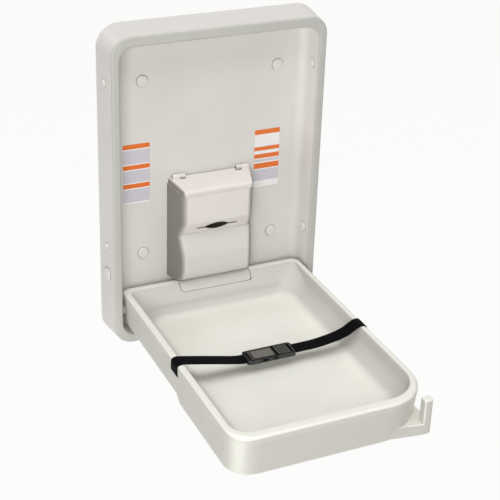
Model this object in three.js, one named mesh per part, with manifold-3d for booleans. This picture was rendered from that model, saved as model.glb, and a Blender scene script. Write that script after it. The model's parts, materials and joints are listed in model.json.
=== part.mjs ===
// Wall-mounted baby changing station with a fold-down tray, shown with the tray open.
// Millimetres, +Z up, +Y into the wall. The origin is on the wall, in the middle of the back plate.
// Places are given as x, as "out" (distance from the wall) and as "rise" (height above the shell's
// lower edge).
import * as THREE from 'three';
import { mergeVertices } from 'three/addons/utils/BufferGeometryUtils.js';
import Module from 'manifold-3d';

// Gaps between pieces
const FIT_GAP = 0.3;
const BORE_GAP = 0.3;

// Wall shell
const SHELL_WIDTH = 560;
const SHELL_HEIGHT = 820;
const SHELL_DEPTH = 86;
const SHELL_DRAFT = 9;
const SHELL_SKIN = 4;
const SHELL_CORNER = 48;
const SIDE_BAND = 20.5;
const TOP_BAND = 27;
const BOTTOM_BAND = 22;
const RIM_EDGE = 5;
const RECESS_CORNER = 36;
const RECESS_DRAFT = 3;
const RECESS_FILLET = 22;
const PANEL_OUT = 16;

// Back plate and wall bolts
const PLATE_THICK = 1.5;
const PLATE_GAP = 1;
const BOLT_INSET = 100;
const BOLT_LOW = 217;
const BOLT_DROP = 138;
const BOLT_RADIUS = 6;
const SLEEVE_RADIUS = 12;

// Round caps and plugs
const CAP_THICK = 5.5;
const BOLT_CAP_RADIUS = 16.5;
const INNER_CAP_RADIUS = 14;
const INNER_CAP_GAP = 4;
const INNER_CAP_LOW = 232;
const INNER_CAP_DROP = 130;
const PLUG_RADIUS = 9;
const PLUG_LOW = 268;
const PLUG_DROP = 120;
const LARGE_PLUG_RADIUS = 19;
const LARGE_PLUG_RISE = 189;

// Tray hinge: the pivot line and what the folded tray keeps clear of
const PIVOT_SETBACK = 18;
const PIVOT_RISE = 93;
const RIM_GAP = 8;
const SWING_GAP = 3;
const CLOSED_GAP = 8;
const SIDE_GAP = 9.5;
const PIN_RADIUS = 6;
const PIN_HEAD = 9;
const PIN_HEAD_THICK = 3;
const PIN_REACH = 22;
const HINGE_PLATE_THICK = 4;
const HINGE_PLATE_LOW = 50;
const HINGE_PLATE_HIGH = 215;
const HINGE_FLANGE = 55;
const SPACER_RADIUS = 12;
const BUSH_WALL = 3;
const BUSH_FLANGE = 15;
const STOP_RADIUS = 6;
const STUD_BEHIND = 20;
const STUD_ABOVE = 12;
const STUD_GAP = 0.6;

// Tray mouldings
const REAR_ROUND = 22;
const REAR_CORNER = 22;
const FRONT_CORNER = 112;
const LEFT_CORNER = 62;
const BEAD_HEIGHT = 12;
const BEAD_ROUND = 8;
const BED_SKIN = 3.5;
const LIP_SIDE = 14;
const LIP_FRONT = 24;
const LIP_REAR = 42;
const LIP_DROP = 4;
const BASIN_DEPTH = 64;
const BASIN_RUN = 70;
const BASIN_CORNER = 45;
const BASIN_REAR_CORNER = 70;
const PAN_SKIN = 4;
const PAN_EDGE = 16;
const STEP_DROP = 19;
const STEP_OUT = 412;
const TRAY_DRAFT = 5;
const FRONT_DRAFT = 14;
const GROOVE = 2.2;
const GROOVE_HEIGHT = 3.5;

// Bag hook at the front right corner
const HOOK_CORNER = 10;
const HOOK_SLOT = 12.5;
const HOOK_LENGTH = 85;
const HOOK_BASE = 36;
const HOOK_DROP = 6;

// Rear access cover
const COVER_HALF = 100;
const COVER_DROP = 40;
const COVER_GAP = 1;

// Gas spring under the basin
const CRANK_ARM = 28;
const CRANK_RADIUS = 4;
const CHEEK_THICK = 4;
const CHEEK_INNER = 7;
const CHEEK_BOSS = 9;
const YOKE_THICK = 10;
const YOKE_WALL = 4.5;
const YOKE_PLAY = 1.6;
const ROD_RADIUS = 4;
const TUBE_RADIUS = 8;
const SPRING_GAP = 4.25;
const TUBE_REAR = 170;
const TUBE_LENGTH = 200;
const ROD_END = 262;
const SLOT_HALF = 16;

// Safety strap and buckle
const STRAP_OUT = 414;
const STRAP_WIDTH = 38;
const STRAP_THICK = 1.8;
const STRAP_SLOT_DROP = 42;
const STRAP_BAR_RADIUS = 3;
const BUCKLE_DROP = 33;
const BUCKLE_WIDTH = 46;
const BUCKLE_THICK = 12;
const SOCKET_LEFT = -70;
const SOCKET_RIGHT = 8;
const SOCKET_WALL = 2.8;
const SOCKET_MOUTH = 40;
const PLUG_LENGTH = 50;
const PLUG_TRAVEL = 32;
const PRONG_LENGTH = 27;
const STRAP_INSERT = 6;

// Liner dispenser on the back panel
const DISPENSER_DEPTH = 66;
const DISPENSER_BACK = 115;
const DISPENSER_FRONT = 95;
const HOUSING_GAP = 4;
const HOUSING_HEIGHT = 131;
const DISPENSER_SKIN = 3;
const CHIN_DEPTH = 46;
const BELLY_DEPTH = 63;
const HOUSING_FOOT = 24;
const SLANT_HEIGHT = 36;
const FACE_HEIGHT = 78;
const LID_SLOPE_DROP = 18;
const LID_HEIGHT = 13;
const LID_PIN_RADIUS = 2.2;
const KNUCKLE_RADIUS = 5;
const KNUCKLE_LENGTH = 20;
const EAR_LENGTH = 14;
const EAR_X = 70;
const LID_PIN_REACH = 8;
const LID_PIN_ABOVE = 4;
const SLIT_LENGTH = 126;
const SLIT_HEIGHT = 4;
const SLIT_EYE = 70;
const SLIT_EYE_HEIGHT = 16;
const PACK_HEIGHT = 62;

// Blank label plates
const LABEL_WIDTH = 70;
const LABEL_HEIGHT = 160;
const LABEL_THICK = 0.8;
const LABEL_MARGIN = 3.5;
const LABEL_RISE = 440;
const RIGHT_LABEL_INSET = 36;
const RIGHT_LABEL_DROP = 10;

// Facets of round stretches
const CORNER_STEPS = 6;
const CURVE_STEPS = 6;
const EDGE_STEPS = 3;
const BASIN_STEPS = 5;
const ROUND_SIDES = 14;
const SMALL_SIDES = 10;

// Places of the fixings, which follow the case
const BOLT_X = SHELL_WIDTH / 2 - BOLT_INSET;
const BOLT_RISES = [BOLT_LOW, SHELL_HEIGHT - BOLT_DROP];
const INNER_CAP_RISES = [INNER_CAP_LOW, SHELL_HEIGHT - INNER_CAP_DROP];
const INNER_CAP_OUT = PANEL_OUT + RECESS_FILLET + INNER_CAP_GAP + INNER_CAP_RADIUS;
const PLUG_RISES = [PLUG_LOW, SHELL_HEIGHT - PLUG_DROP];
const PLUG_OUT = SHELL_DEPTH / 2;
const PANEL_HALF = SHELL_WIDTH / 2 - SIDE_BAND - RECESS_DRAFT - RECESS_FILLET;
const LABEL_END = PANEL_HALF - LABEL_MARGIN;

// Heights and reaches that follow from the hinge and from the gas spring under the basin
const PIVOT_OUT = SHELL_DEPTH - PIVOT_SETBACK;
const RIM_ABOVE = PIVOT_OUT - PANEL_OUT - RIM_GAP;
const RIM_RISE = PIVOT_RISE + RIM_ABOVE;
const SEAM_RISE = RIM_RISE - BEAD_HEIGHT;
const SWING_RADIUS = PIVOT_OUT - PANEL_OUT - SWING_GAP - REAR_ROUND;
const REAR_REACH = REAR_ROUND + Math.sqrt(SWING_RADIUS ** 2 - (RIM_ABOVE - REAR_ROUND) ** 2);
const TRAY_REAR = PIVOT_OUT - REAR_REACH;
const TRAY_FRONT = PIVOT_OUT + SHELL_HEIGHT - TOP_BAND - CLOSED_GAP - PIVOT_RISE;
const TRAY_HALF = SHELL_WIDTH / 2 - SIDE_BAND - SIDE_GAP;
const BED_LOW = RIM_RISE - BASIN_DEPTH - BED_SKIN;
const ROD_RISE = BED_LOW - SPRING_GAP - TUBE_RADIUS;
const PAN_RISE = ROD_RISE - TUBE_RADIUS - SPRING_GAP - PAN_SKIN;
const FRONT_PAN_RISE = PAN_RISE - STEP_DROP;
const CRANK_OUT = PIVOT_OUT + CRANK_ARM;
const CRANK_RISE = PIVOT_RISE - CRANK_ARM;
const CRANK_SWEEP = CRANK_ARM * Math.SQRT2;
const BUCKLE_RISE = RIM_RISE - BUCKLE_DROP;
const STRAP_SLOT_RISE = RIM_RISE - STRAP_SLOT_DROP;

// The dispenser stands just above the tray's rim, one height on another
const DISPENSER_OUT = PANEL_OUT + DISPENSER_DEPTH;
const CHIN_OUT = PANEL_OUT + CHIN_DEPTH;
const BELLY_OUT = PANEL_OUT + BELLY_DEPTH;
const DISPENSER_LOW = RIM_RISE + HOUSING_GAP;
const DISPENSER_CHIN = DISPENSER_LOW + HOUSING_HEIGHT;
const FACE_LOW = DISPENSER_CHIN + SLANT_HEIGHT;
const FACE_HIGH = FACE_LOW + FACE_HEIGHT;
const BODY_BACK_HIGH = FACE_HIGH + LID_SLOPE_DROP;
const LID_HIGH = BODY_BACK_HIGH + LID_HEIGHT;
const LID_PIN_OUT = PANEL_OUT + LID_PIN_REACH;
const LID_PIN_RISE = LID_HIGH + LID_PIN_ABOVE;

const wasm = await Module();
wasm.setup();

const plastic = (color) => new THREE.MeshStandardMaterial({ color, roughness: 0.5, metalness: 0 });
const metal = (color) => new THREE.MeshStandardMaterial({ color, roughness: 0.35, metalness: 1 });
const offWhite = plastic(0xd6d4cd);
const paleCap = plastic(0xcfccc5);
const darkPlastic = plastic(0x35353a);
const webbing = new THREE.MeshStandardMaterial({ color: 0x101014, roughness: 0.85, metalness: 0 });
const paper = new THREE.MeshStandardMaterial({ color: 0xf1efe8, roughness: 0.95, metalness: 0 });
const steel = metal(0xb9bcc0);
const blackSteel = metal(0x3c3d40);

const station = new THREE.Group();

// Names of the two hands, with the sign of their x, and of the two rows of fixings.
const sides = [['right', 1], ['left', -1]];
const LEVELS = ['low', 'high'];

// A point from its x, its distance out from the wall and its height above the shell's lower edge.
function at(x, out, rise) {
  return new THREE.Vector3(x, -out, rise - SHELL_HEIGHT / 2);
}

// A closed geometry with shared corners and its faces pointing out.
function closed(geometry) {
  geometry.deleteAttribute('normal');
  geometry.deleteAttribute('uv');
  const merged = mergeVertices(geometry, 1e-4);
  const place = merged.getAttribute('position');
  const index = merged.index.array;
  const corners = [new THREE.Vector3(), new THREE.Vector3(), new THREE.Vector3()];
  let volume = 0;
  for (let i = 0; i < index.length; i += 3) {
    corners.forEach((corner, k) => corner.fromBufferAttribute(place, index[i + k]));
    volume += corners[0].dot(corners[1].clone().cross(corners[2]));
  }
  if (volume < 0) index.reverse();
  return merged;
}

// A geometry as a solid that can be cut and joined.
function solid(geometry) {
  const mesh = closed(geometry);
  const vertProperties = new Float32Array(mesh.getAttribute('position').array);
  const triVerts = new Uint32Array(mesh.index.array);
  return new wasm.Manifold(new wasm.Mesh({ numProp: 3, vertProperties, triVerts }));
}

const join = (...parts) => parts.reduce((whole, part) => whole.add(part));
const cut = (base, ...tools) => tools.reduce((rest, tool) => rest.subtract(tool), base);

// Adds one named piece to the station.
function addPiece(name, body, material) {
  const mesh = body.getMesh();
  const geometry = new THREE.BufferGeometry();
  geometry.setAttribute('position', new THREE.BufferAttribute(mesh.vertProperties, 3));
  geometry.setIndex(new THREE.BufferAttribute(mesh.triVerts, 1));
  geometry.computeVertexNormals();
  const piece = new THREE.Mesh(geometry, material);
  piece.name = name;
  station.add(piece);
}

// A box between two x values, two distances out and two heights.
function box([x0, x1], [out0, out1], [rise0, rise1]) {
  const geometry = new THREE.BoxGeometry(x1 - x0, out1 - out0, rise1 - rise0);
  const middle = at((x0 + x1) / 2, (out0 + out1) / 2, (rise0 + rise1) / 2);
  geometry.translate(middle.x, middle.y, middle.z);
  return solid(geometry);
}

// A round bar between two points.
function bar(from, to, radius, sides = ROUND_SIDES) {
  const axis = to.clone().sub(from);
  const geometry = new THREE.CylinderGeometry(radius, radius, axis.length(), sides);
  const upward = new THREE.Vector3(0, 1, 0);
  geometry.applyQuaternion(new THREE.Quaternion().setFromUnitVectors(upward, axis.clone().normalize()));
  const middle = from.clone().add(to).multiplyScalar(0.5);
  geometry.translate(middle.x, middle.y, middle.z);
  return solid(geometry);
}

// A profile of [radius, height] points turned about an axis that starts at a base point.
function turned(profile, base, axis, sides = ROUND_SIDES) {
  const geometry = new THREE.LatheGeometry(profile.map(([r, h]) => new THREE.Vector2(r, h)), sides);
  const upward = new THREE.Vector3(0, 1, 0);
  geometry.applyQuaternion(new THREE.Quaternion().setFromUnitVectors(upward, axis));
  geometry.translate(base.x, base.y, base.z);
  return solid(geometry);
}

// A tube: its outer radius, its bore and the two ends of its axis.
function tube(from, to, outer, bore, sides = ROUND_SIDES) {
  const axis = to.clone().sub(from);
  const length = axis.length();
  const profile = [[bore, 0], [outer, 0], [outer, length], [bore, length], [bore, 0]];
  return turned(profile, from, axis.normalize(), sides);
}

const pushed = (shape, depth) => new THREE.ExtrudeGeometry(shape, {
  depth,
  bevelEnabled: false,
  curveSegments: CURVE_STEPS,
});

// An outline of [out, rise] points pushed along x.
function sideProfile(shape, [x0, x1]) {
  const geometry = pushed(shape, x1 - x0);
  const frame = new THREE.Matrix4();
  frame.makeBasis(new THREE.Vector3(0, -1, 0), new THREE.Vector3(0, 0, 1), new THREE.Vector3(1, 0, 0));
  frame.setPosition(x0, 0, -SHELL_HEIGHT / 2);
  return solid(geometry.applyMatrix4(frame));
}

// An outline of [x, rise] points pushed away from the wall.
function frontProfile(shape, [out0, out1]) {
  const geometry = pushed(shape, out1 - out0);
  const frame = new THREE.Matrix4();
  frame.makeBasis(new THREE.Vector3(1, 0, 0), new THREE.Vector3(0, 0, 1), new THREE.Vector3(0, -1, 0));
  frame.setPosition(0, -out0, -SHELL_HEIGHT / 2);
  return solid(geometry.applyMatrix4(frame));
}

// An outline of [x, out] points pushed upwards.
function planProfile(shape, [rise0, rise1]) {
  const geometry = pushed(shape, rise1 - rise0);
  const frame = new THREE.Matrix4();
  frame.makeBasis(new THREE.Vector3(1, 0, 0), new THREE.Vector3(0, -1, 0), new THREE.Vector3(0, 0, 1));
  frame.setPosition(0, 0, rise0 - SHELL_HEIGHT / 2);
  return solid(geometry.applyMatrix4(frame));
}

const shapeOf = (points) => new THREE.Shape(points.map(([u, v]) => new THREE.Vector2(u, v)));

// A rounded rectangle as points, with one radius for its high corners and one for its low corners; the
// low left corner can have its own.
function outline(half, low, high, lowRadius, highRadius, leftRadius = lowRadius) {
  const corners = [
    [half - lowRadius, low + lowRadius, lowRadius, -0.5],
    [half - highRadius, high - highRadius, highRadius, 0],
    [highRadius - half, high - highRadius, highRadius, 0.5],
    [leftRadius - half, low + leftRadius, leftRadius, 1],
  ];
  return corners.flatMap(([u, v, radius, turn]) => {
    const arc = new THREE.EllipseCurve(u, v, radius, radius, turn * Math.PI, (turn + 0.5) * Math.PI);
    return arc.getPoints(CORNER_STEPS);
  });
}

// A closed solid through a row of outlines with equal numbers of points, flat at both ends.
function loft(rings) {
  const count = rings[0].length;
  const geometry = new THREE.BufferGeometry().setFromPoints(rings.flat());
  const index = [];
  for (let r = 0; r + 1 < rings.length; r += 1) {
    for (let i = 0; i < count; i += 1) {
      const near = r * count + i;
      const next = r * count + ((i + 1) % count);
      index.push(near, next, next + count, near, next + count, near + count);
    }
  }
  const last = (rings.length - 1) * count;
  for (let i = 1; i + 1 < count; i += 1) {
    index.push(0, i + 1, i);
    index.push(last, last + i, last + i + 1);
  }
  geometry.setIndex(index);
  return solid(geometry);
}

// Steps of a quarter turn, from 0 to a right angle.
const quarter = (steps) => Array.from({ length: steps + 1 }, (_, k) => (k / steps) * (Math.PI / 2));

// Wall shell: a ring of its outer wall, and a ring of the recess, each inset from the rim's own outline.
function wallRing(inset, out) {
  const points = outline(
    SHELL_WIDTH / 2 - inset,
    inset,
    SHELL_HEIGHT - inset,
    SHELL_CORNER - inset,
    SHELL_CORNER - inset,
  );
  return points.map(({ x, y }) => at(x, out, y));
}

function recessRing(inset, out) {
  const radius = RECESS_CORNER - inset;
  const half = SHELL_WIDTH / 2 - SIDE_BAND - inset;
  const points = outline(half, BOTTOM_BAND + inset, SHELL_HEIGHT - TOP_BAND - inset, radius, radius);
  return points.map(({ x, y }) => at(x, out, y));
}

const FILLET_OUT = PANEL_OUT + RECESS_FILLET;
const WALL_OUT = SHELL_DEPTH - RIM_EDGE;
const recessInset = (out) => (RECESS_DRAFT * (WALL_OUT - out)) / (WALL_OUT - FILLET_OUT);
const outerInset = (out) => SHELL_DRAFT * (out / WALL_OUT - 1);
const recessHalf = (out) => SHELL_WIDTH / 2 - SIDE_BAND - recessInset(out);

// Half the recess's width low in its fillet, and above it
function filletHalf(out) {
  if (out >= FILLET_OUT) return recessHalf(out);
  const turn = Math.acos(1 - (out - PANEL_OUT) / RECESS_FILLET);
  return PANEL_HALF + RECESS_FILLET * Math.sin(turn);
}

const outerHalf = (out) => SHELL_WIDTH / 2 - outerInset(out);

function moulding() {
  const fillet = quarter(EDGE_STEPS + 1).map((turn) => recessRing(
    RECESS_DRAFT + RECESS_FILLET * (1 - Math.sin(turn)),
    PANEL_OUT + RECESS_FILLET * (1 - Math.cos(turn)),
  ));
  const innerEdge = quarter(EDGE_STEPS).map((turn) => recessRing(
    -RIM_EDGE * (1 - Math.cos(turn)),
    WALL_OUT + RIM_EDGE * Math.sin(turn),
  ));
  const outerEdge = quarter(EDGE_STEPS).map((turn) => wallRing(
    RIM_EDGE * (1 - Math.sin(turn)),
    WALL_OUT + RIM_EDGE * Math.cos(turn),
  ));
  return loft([
    ...fillet,
    ...innerEdge,
    ...outerEdge,
    wallRing(-SHELL_DRAFT, 0),
    wallRing(SHELL_SKIN - SHELL_DRAFT, 0),
    wallRing(SHELL_SKIN, SHELL_DEPTH - SHELL_SKIN),
    recessRing(-SHELL_SKIN, SHELL_DEPTH - SHELL_SKIN),
    recessRing(RECESS_DRAFT - SHELL_SKIN, PANEL_OUT - SHELL_SKIN),
  ]);
}

// Places of the round caps: a point on the surface, the way it faces, and the cap's radius.
const panelFacing = new THREE.Vector3(0, -1, 0);
const outerFacing = new THREE.Vector3(WALL_OUT, -SHELL_DRAFT, 0).normalize();
const recessFacing = new THREE.Vector3(FILLET_OUT - WALL_OUT, -RECESS_DRAFT, 0).normalize();
const mirrored = (vector) => new THREE.Vector3(-vector.x, vector.y, vector.z);

function capSites() {
  const right = [];
  LEVELS.forEach((level, row) => {
    const bolt = at(BOLT_X, PANEL_OUT, BOLT_RISES[row]);
    right.push([`bolt_cap_right_${level}`, bolt, panelFacing, BOLT_CAP_RADIUS]);
    const inner = at(recessHalf(INNER_CAP_OUT), INNER_CAP_OUT, INNER_CAP_RISES[row]);
    right.push([`inner_cap_right_${level}`, inner, recessFacing, INNER_CAP_RADIUS]);
    const outer = at(outerHalf(PLUG_OUT), PLUG_OUT, PLUG_RISES[row]);
    right.push([`side_plug_right_${level}`, outer, outerFacing, PLUG_RADIUS]);
  });
  const large = at(outerHalf(PLUG_OUT), PLUG_OUT, LARGE_PLUG_RISE);
  right.push(['side_plug_large_right', large, outerFacing, LARGE_PLUG_RADIUS]);
  const left = right.map(([name, place, facing, radius]) => [
    name.replace('right', 'left'),
    mirrored(place),
    mirrored(facing),
    radius,
  ]);
  return [...right, ...left];
}

const stemRadius = (radius) => radius * 0.6;

// A low domed cap with a stem that plugs into the skin behind it.
function cap(place, facing, radius) {
  const stem = stemRadius(radius) - BORE_GAP;
  const profile = [
    [0, -SHELL_SKIN],
    [stem, -SHELL_SKIN],
    [stem, FIT_GAP],
    [radius, FIT_GAP],
    [radius, CAP_THICK * 0.5],
    [radius * 0.86, CAP_THICK * 0.88],
    [radius * 0.5, CAP_THICK],
    [0, CAP_THICK],
  ];
  return turned(profile, place, facing);
}

function capHole(place, facing, radius) {
  const reach = facing.clone().multiplyScalar(2 * SHELL_SKIN);
  return bar(place.clone().sub(reach), place.clone().add(reach), stemRadius(radius));
}

// Tray outline at one height, inset at its sides, front and rear.
function trayRing(rise, { side, front, rear, frontRadius, rearRadius, leftRadius }) {
  const half = TRAY_HALF - side;
  const points = outline(half, front - TRAY_FRONT, -TRAY_REAR - rear, frontRadius, rearRadius, leftRadius);
  return points.map(({ x, y }) => at(x, -y, rise));
}

// The tray's rear edge is a quarter round, so that it swings clear of the back panel.
function rearInset(rise, skin = 0) {
  const above = Math.max(0, rise - (RIM_RISE - REAR_ROUND));
  const radius = REAR_ROUND - skin;
  return REAR_ROUND - Math.sqrt(Math.max(0, radius ** 2 - above ** 2));
}

function rimRing(rise, inset, skin = 0) {
  return trayRing(rise, {
    side: inset,
    front: inset,
    rear: rearInset(rise, skin),
    frontRadius: FRONT_CORNER - inset,
    rearRadius: REAR_CORNER + inset,
    leftRadius: LEFT_CORNER - inset,
  });
}

// The basin's wall falls in a quarter ellipse from the lip to the floor.
function basinRing(turn, skin = 0) {
  const run = LIP_DROP + BASIN_RUN * (1 - Math.cos(turn)) - skin * Math.cos(turn);
  const fall = LIP_DROP + (BASIN_DEPTH - LIP_DROP) * Math.sin(turn) + skin * Math.sin(turn);
  return lipRing(RIM_RISE - fall, run);
}

function lipRing(rise, run) {
  return trayRing(rise, {
    side: LIP_SIDE + run,
    front: LIP_FRONT + run,
    rear: LIP_REAR + run,
    frontRadius: Math.max(FRONT_CORNER - LIP_FRONT - run, BASIN_CORNER),
    rearRadius: BASIN_REAR_CORNER,
    leftRadius: Math.max(LEFT_CORNER - LIP_FRONT - run, BASIN_CORNER),
  });
}

function bedMoulding() {
  const turns = quarter(BASIN_STEPS);
  const edge = quarter(EDGE_STEPS);
  const inner = BEAD_ROUND - BED_SKIN;
  return loft([
    ...turns.toReversed().map((turn) => basinRing(turn)),
    lipRing(RIM_RISE, 0),
    ...edge.map((turn) => rimRing(
      RIM_RISE - BEAD_ROUND * (1 - Math.cos(turn)),
      BEAD_ROUND * (1 - Math.sin(turn)),
    )),
    rimRing(SEAM_RISE, 0),
    rimRing(SEAM_RISE, BED_SKIN, BED_SKIN),
    ...edge.toReversed().map((turn) => rimRing(
      RIM_RISE - BED_SKIN - inner * (1 - Math.cos(turn)),
      BED_SKIN + inner * (1 - Math.sin(turn)),
      BED_SKIN,
    )),
    lipRing(RIM_RISE - BED_SKIN, -BED_SKIN / 2),
    ...turns.map((turn) => basinRing(turn, BED_SKIN)),
  ]);
}

// Insets of the lower moulding's walls, which lean inwards towards the bottom.
const lean = (rise) => (SEAM_RISE - rise) / (SEAM_RISE - FRONT_PAN_RISE);

function panRing(rise, inset, rear = 0) {
  return trayRing(rise, {
    side: TRAY_DRAFT * lean(rise) + inset,
    front: FRONT_DRAFT * lean(rise) + inset,
    rear: rearInset(rise) + Math.max(rear, inset),
    frontRadius: FRONT_CORNER - inset,
    rearRadius: REAR_CORNER,
    leftRadius: LEFT_CORNER - inset,
  });
}

// Rounded lower edge of a pan, from its wall to its floor.
function panFoot(bottom, inset, rear) {
  const round = PAN_EDGE - inset;
  return quarter(EDGE_STEPS).map((turn) => {
    const fall = round * (1 - Math.sin(turn));
    return panRing(bottom + round * (1 - Math.sin(turn)), inset + round * (1 - Math.cos(turn)), rear - fall);
  });
}

function panBlock(inset) {
  const top = SEAM_RISE - FIT_GAP + inset;
  const main = loft([
    panRing(top, GROOVE + inset),
    panRing(SEAM_RISE - GROOVE_HEIGHT, GROOVE + inset),
    panRing(SEAM_RISE - GROOVE_HEIGHT - GROOVE, inset),
    ...panFoot(PAN_RISE + inset, inset, 0),
  ]);
  const behind = STEP_OUT - TRAY_REAR + inset;
  const deep = loft([
    panRing(PAN_RISE + PAN_EDGE + inset, inset + FIT_GAP, behind - PAN_EDGE),
    ...panFoot(FRONT_PAN_RISE + inset, inset, behind + PAN_EDGE),
  ]);
  return join(main, deep);
}

// The hook fills out the front right corner: a base at the bottom, and an upright square finger that
// stands clear of the round corner.
function bagHook() {
  const square = [FRONT_PAN_RISE, RIM_RISE].map((rise) => trayRing(rise, {
    side: GROOVE,
    front: GROOVE,
    rear: 0,
    frontRadius: HOOK_CORNER,
    rearRadius: REAR_CORNER,
  }));
  const middleX = TRAY_HALF - FRONT_CORNER;
  const middleOut = TRAY_FRONT - FRONT_CORNER;
  const low = FRONT_PAN_RISE + PAN_EDGE / 2;
  const floor = FRONT_PAN_RISE + HOOK_BASE;
  const top = RIM_RISE - HOOK_DROP;
  const foot = shapeOf([
    [middleX, middleOut],
    [TRAY_HALF - TRAY_DRAFT, middleOut],
    [TRAY_HALF, TRAY_FRONT - HOOK_LENGTH],
    [TRAY_HALF, TRAY_FRONT],
    [TRAY_HALF - HOOK_LENGTH, TRAY_FRONT],
    [middleX, TRAY_FRONT - FRONT_DRAFT],
  ]);
  const reach = (FRONT_CORNER + HOOK_SLOT) / Math.SQRT2;
  const inner = middleX + reach;
  const face = shapeOf([
    [inner, low],
    [TRAY_HALF, low],
    [TRAY_HALF, top - HOOK_CORNER],
    [TRAY_HALF - HOOK_CORNER, top],
    [inner + HOOK_CORNER / 2, top],
    [inner, top - HOOK_CORNER / 2],
  ]);
  const finger = frontProfile(face, [middleOut + reach, TRAY_FRONT]);
  return loft(square).intersect(join(planProfile(foot, [low, floor]), finger));
}

const traySide = (rise) => TRAY_HALF - TRAY_DRAFT * lean(rise);
const along = (x, hand) => (hand > 0 ? [x[0], x[1]] : [-x[1], -x[0]]);
const across = (x0, x1, hand, out, rise) => [at(hand * x0, out, rise), at(hand * x1, out, rise)];

// Stud on the tray and the fixed pin above it, which meet when the tray is level.
const STUD_OUT = PIVOT_OUT - STUD_BEHIND;
const STUD_RISE = PIVOT_RISE + STUD_ABOVE;
const STUD_ARM = Math.hypot(STUD_BEHIND, STUD_ABOVE);
const STOP_STEP = 2 * STOP_RADIUS + FIT_GAP;
const STOP_OUT = STUD_OUT + (STOP_STEP * STUD_ABOVE) / STUD_ARM;
const STOP_RISE = STUD_RISE + (STOP_STEP * STUD_BEHIND) / STUD_ARM;

const HINGE_PLATE_X = SHELL_WIDTH / 2 - SIDE_BAND + SHELL_SKIN + 2 * FIT_GAP;
const HINGE_PLATE_END = HINGE_PLATE_X + HINGE_PLATE_THICK;
const BUSH_RADIUS = PIN_RADIUS + BORE_GAP + BUSH_WALL;

// Pieces of the wall unit
const sites = capSites();

function wallShell() {
  const holes = sites.map(([, place, facing, radius]) => capHole(place, facing, radius));
  sides.forEach(([, hand]) => {
    const inner = recessHalf(PIVOT_OUT) - SHELL_SKIN;
    holes.push(bar(...across(inner, HINGE_PLATE_X, hand, PIVOT_OUT, PIVOT_RISE), PIN_RADIUS + BORE_GAP));
    holes.push(bar(...across(inner, HINGE_PLATE_X, hand, STOP_OUT, STOP_RISE), STOP_RADIUS + BORE_GAP));
  });
  return cut(moulding(), ...holes);
}

function backPlate() {
  const inset = SHELL_SKIN - SHELL_DRAFT + PLATE_GAP;
  const sheet = loft([wallRing(inset, 0), wallRing(inset, PLATE_THICK)]);
  const holes = BOLT_RISES.flatMap((rise) => sides.map(([, hand]) => {
    const behind = at(hand * BOLT_X, -PLATE_THICK, rise);
    const before = at(hand * BOLT_X, 2 * PLATE_THICK, rise);
    return bar(behind, before, BOLT_RADIUS, SMALL_SIDES);
  }));
  return cut(sheet, ...holes);
}

function hingePlate(hand) {
  const back = PLATE_THICK + FIT_GAP;
  const front = SHELL_DEPTH - SHELL_SKIN - 2 * FIT_GAP;
  const inner = HINGE_PLATE_END - HINGE_FLANGE;
  const angle = shapeOf([
    [hand * inner, back],
    [hand * HINGE_PLATE_END, back],
    [hand * HINGE_PLATE_END, front],
    [hand * HINGE_PLATE_X, front],
    [hand * HINGE_PLATE_X, back + HINGE_PLATE_THICK],
    [hand * inner, back + HINGE_PLATE_THICK],
  ]);
  const through = [HINGE_PLATE_X - HINGE_PLATE_THICK, HINGE_PLATE_END + HINGE_PLATE_THICK];
  return cut(
    planProfile(angle, [HINGE_PLATE_LOW, HINGE_PLATE_HIGH]),
    bar(...across(...through, hand, PIVOT_OUT, PIVOT_RISE), PIN_RADIUS + BORE_GAP),
    bar(...across(...through, hand, STOP_OUT, STOP_RISE), STOP_RADIUS + BORE_GAP),
  );
}

// A headed pin along x, with its head in the hollow side wall.
function headedPin(inner, hand, out, rise, radius, head) {
  const start = at(hand * inner, out, rise);
  const shank = HINGE_PLATE_END + FIT_GAP - inner;
  const end = shank + PIN_HEAD_THICK;
  const profile = [[0, 0], [radius, 0], [radius, shank], [head, shank], [head, end], [0, end]];
  return turned(profile, start, new THREE.Vector3(hand, 0, 0));
}

const recessFloor = (out) => BOTTOM_BAND + recessInset(out);

function crankBracket() {
  const rear = FILLET_OUT + CHEEK_BOSS;
  const front = WALL_OUT;
  const foot = (out) => recessFloor(out) + FIT_GAP;
  const cheek = new THREE.Shape();
  cheek.moveTo(rear, foot(rear));
  cheek.lineTo(front, foot(front));
  cheek.lineTo(CRANK_OUT + CHEEK_BOSS, CRANK_RISE);
  cheek.absarc(CRANK_OUT, CRANK_RISE, CHEEK_BOSS, 0, Math.PI);
  cheek.lineTo(rear, foot(rear) + 2 * CHEEK_THICK);
  const base = shapeOf([
    [rear, foot(rear)],
    [front, foot(front)],
    [front, foot(front) + CHEEK_THICK],
    [rear, foot(rear) + CHEEK_THICK],
  ]);
  const edge = CHEEK_INNER + CHEEK_THICK;
  const bracket = join(
    sideProfile(base, [-edge, edge]),
    sideProfile(cheek, [CHEEK_INNER, edge]),
    sideProfile(cheek, [-edge, -CHEEK_INNER]),
  );
  return cut(bracket, bar(...across(-2 * edge, 2 * edge, 1, CRANK_OUT, CRANK_RISE), CRANK_RADIUS + BORE_GAP));
}

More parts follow.
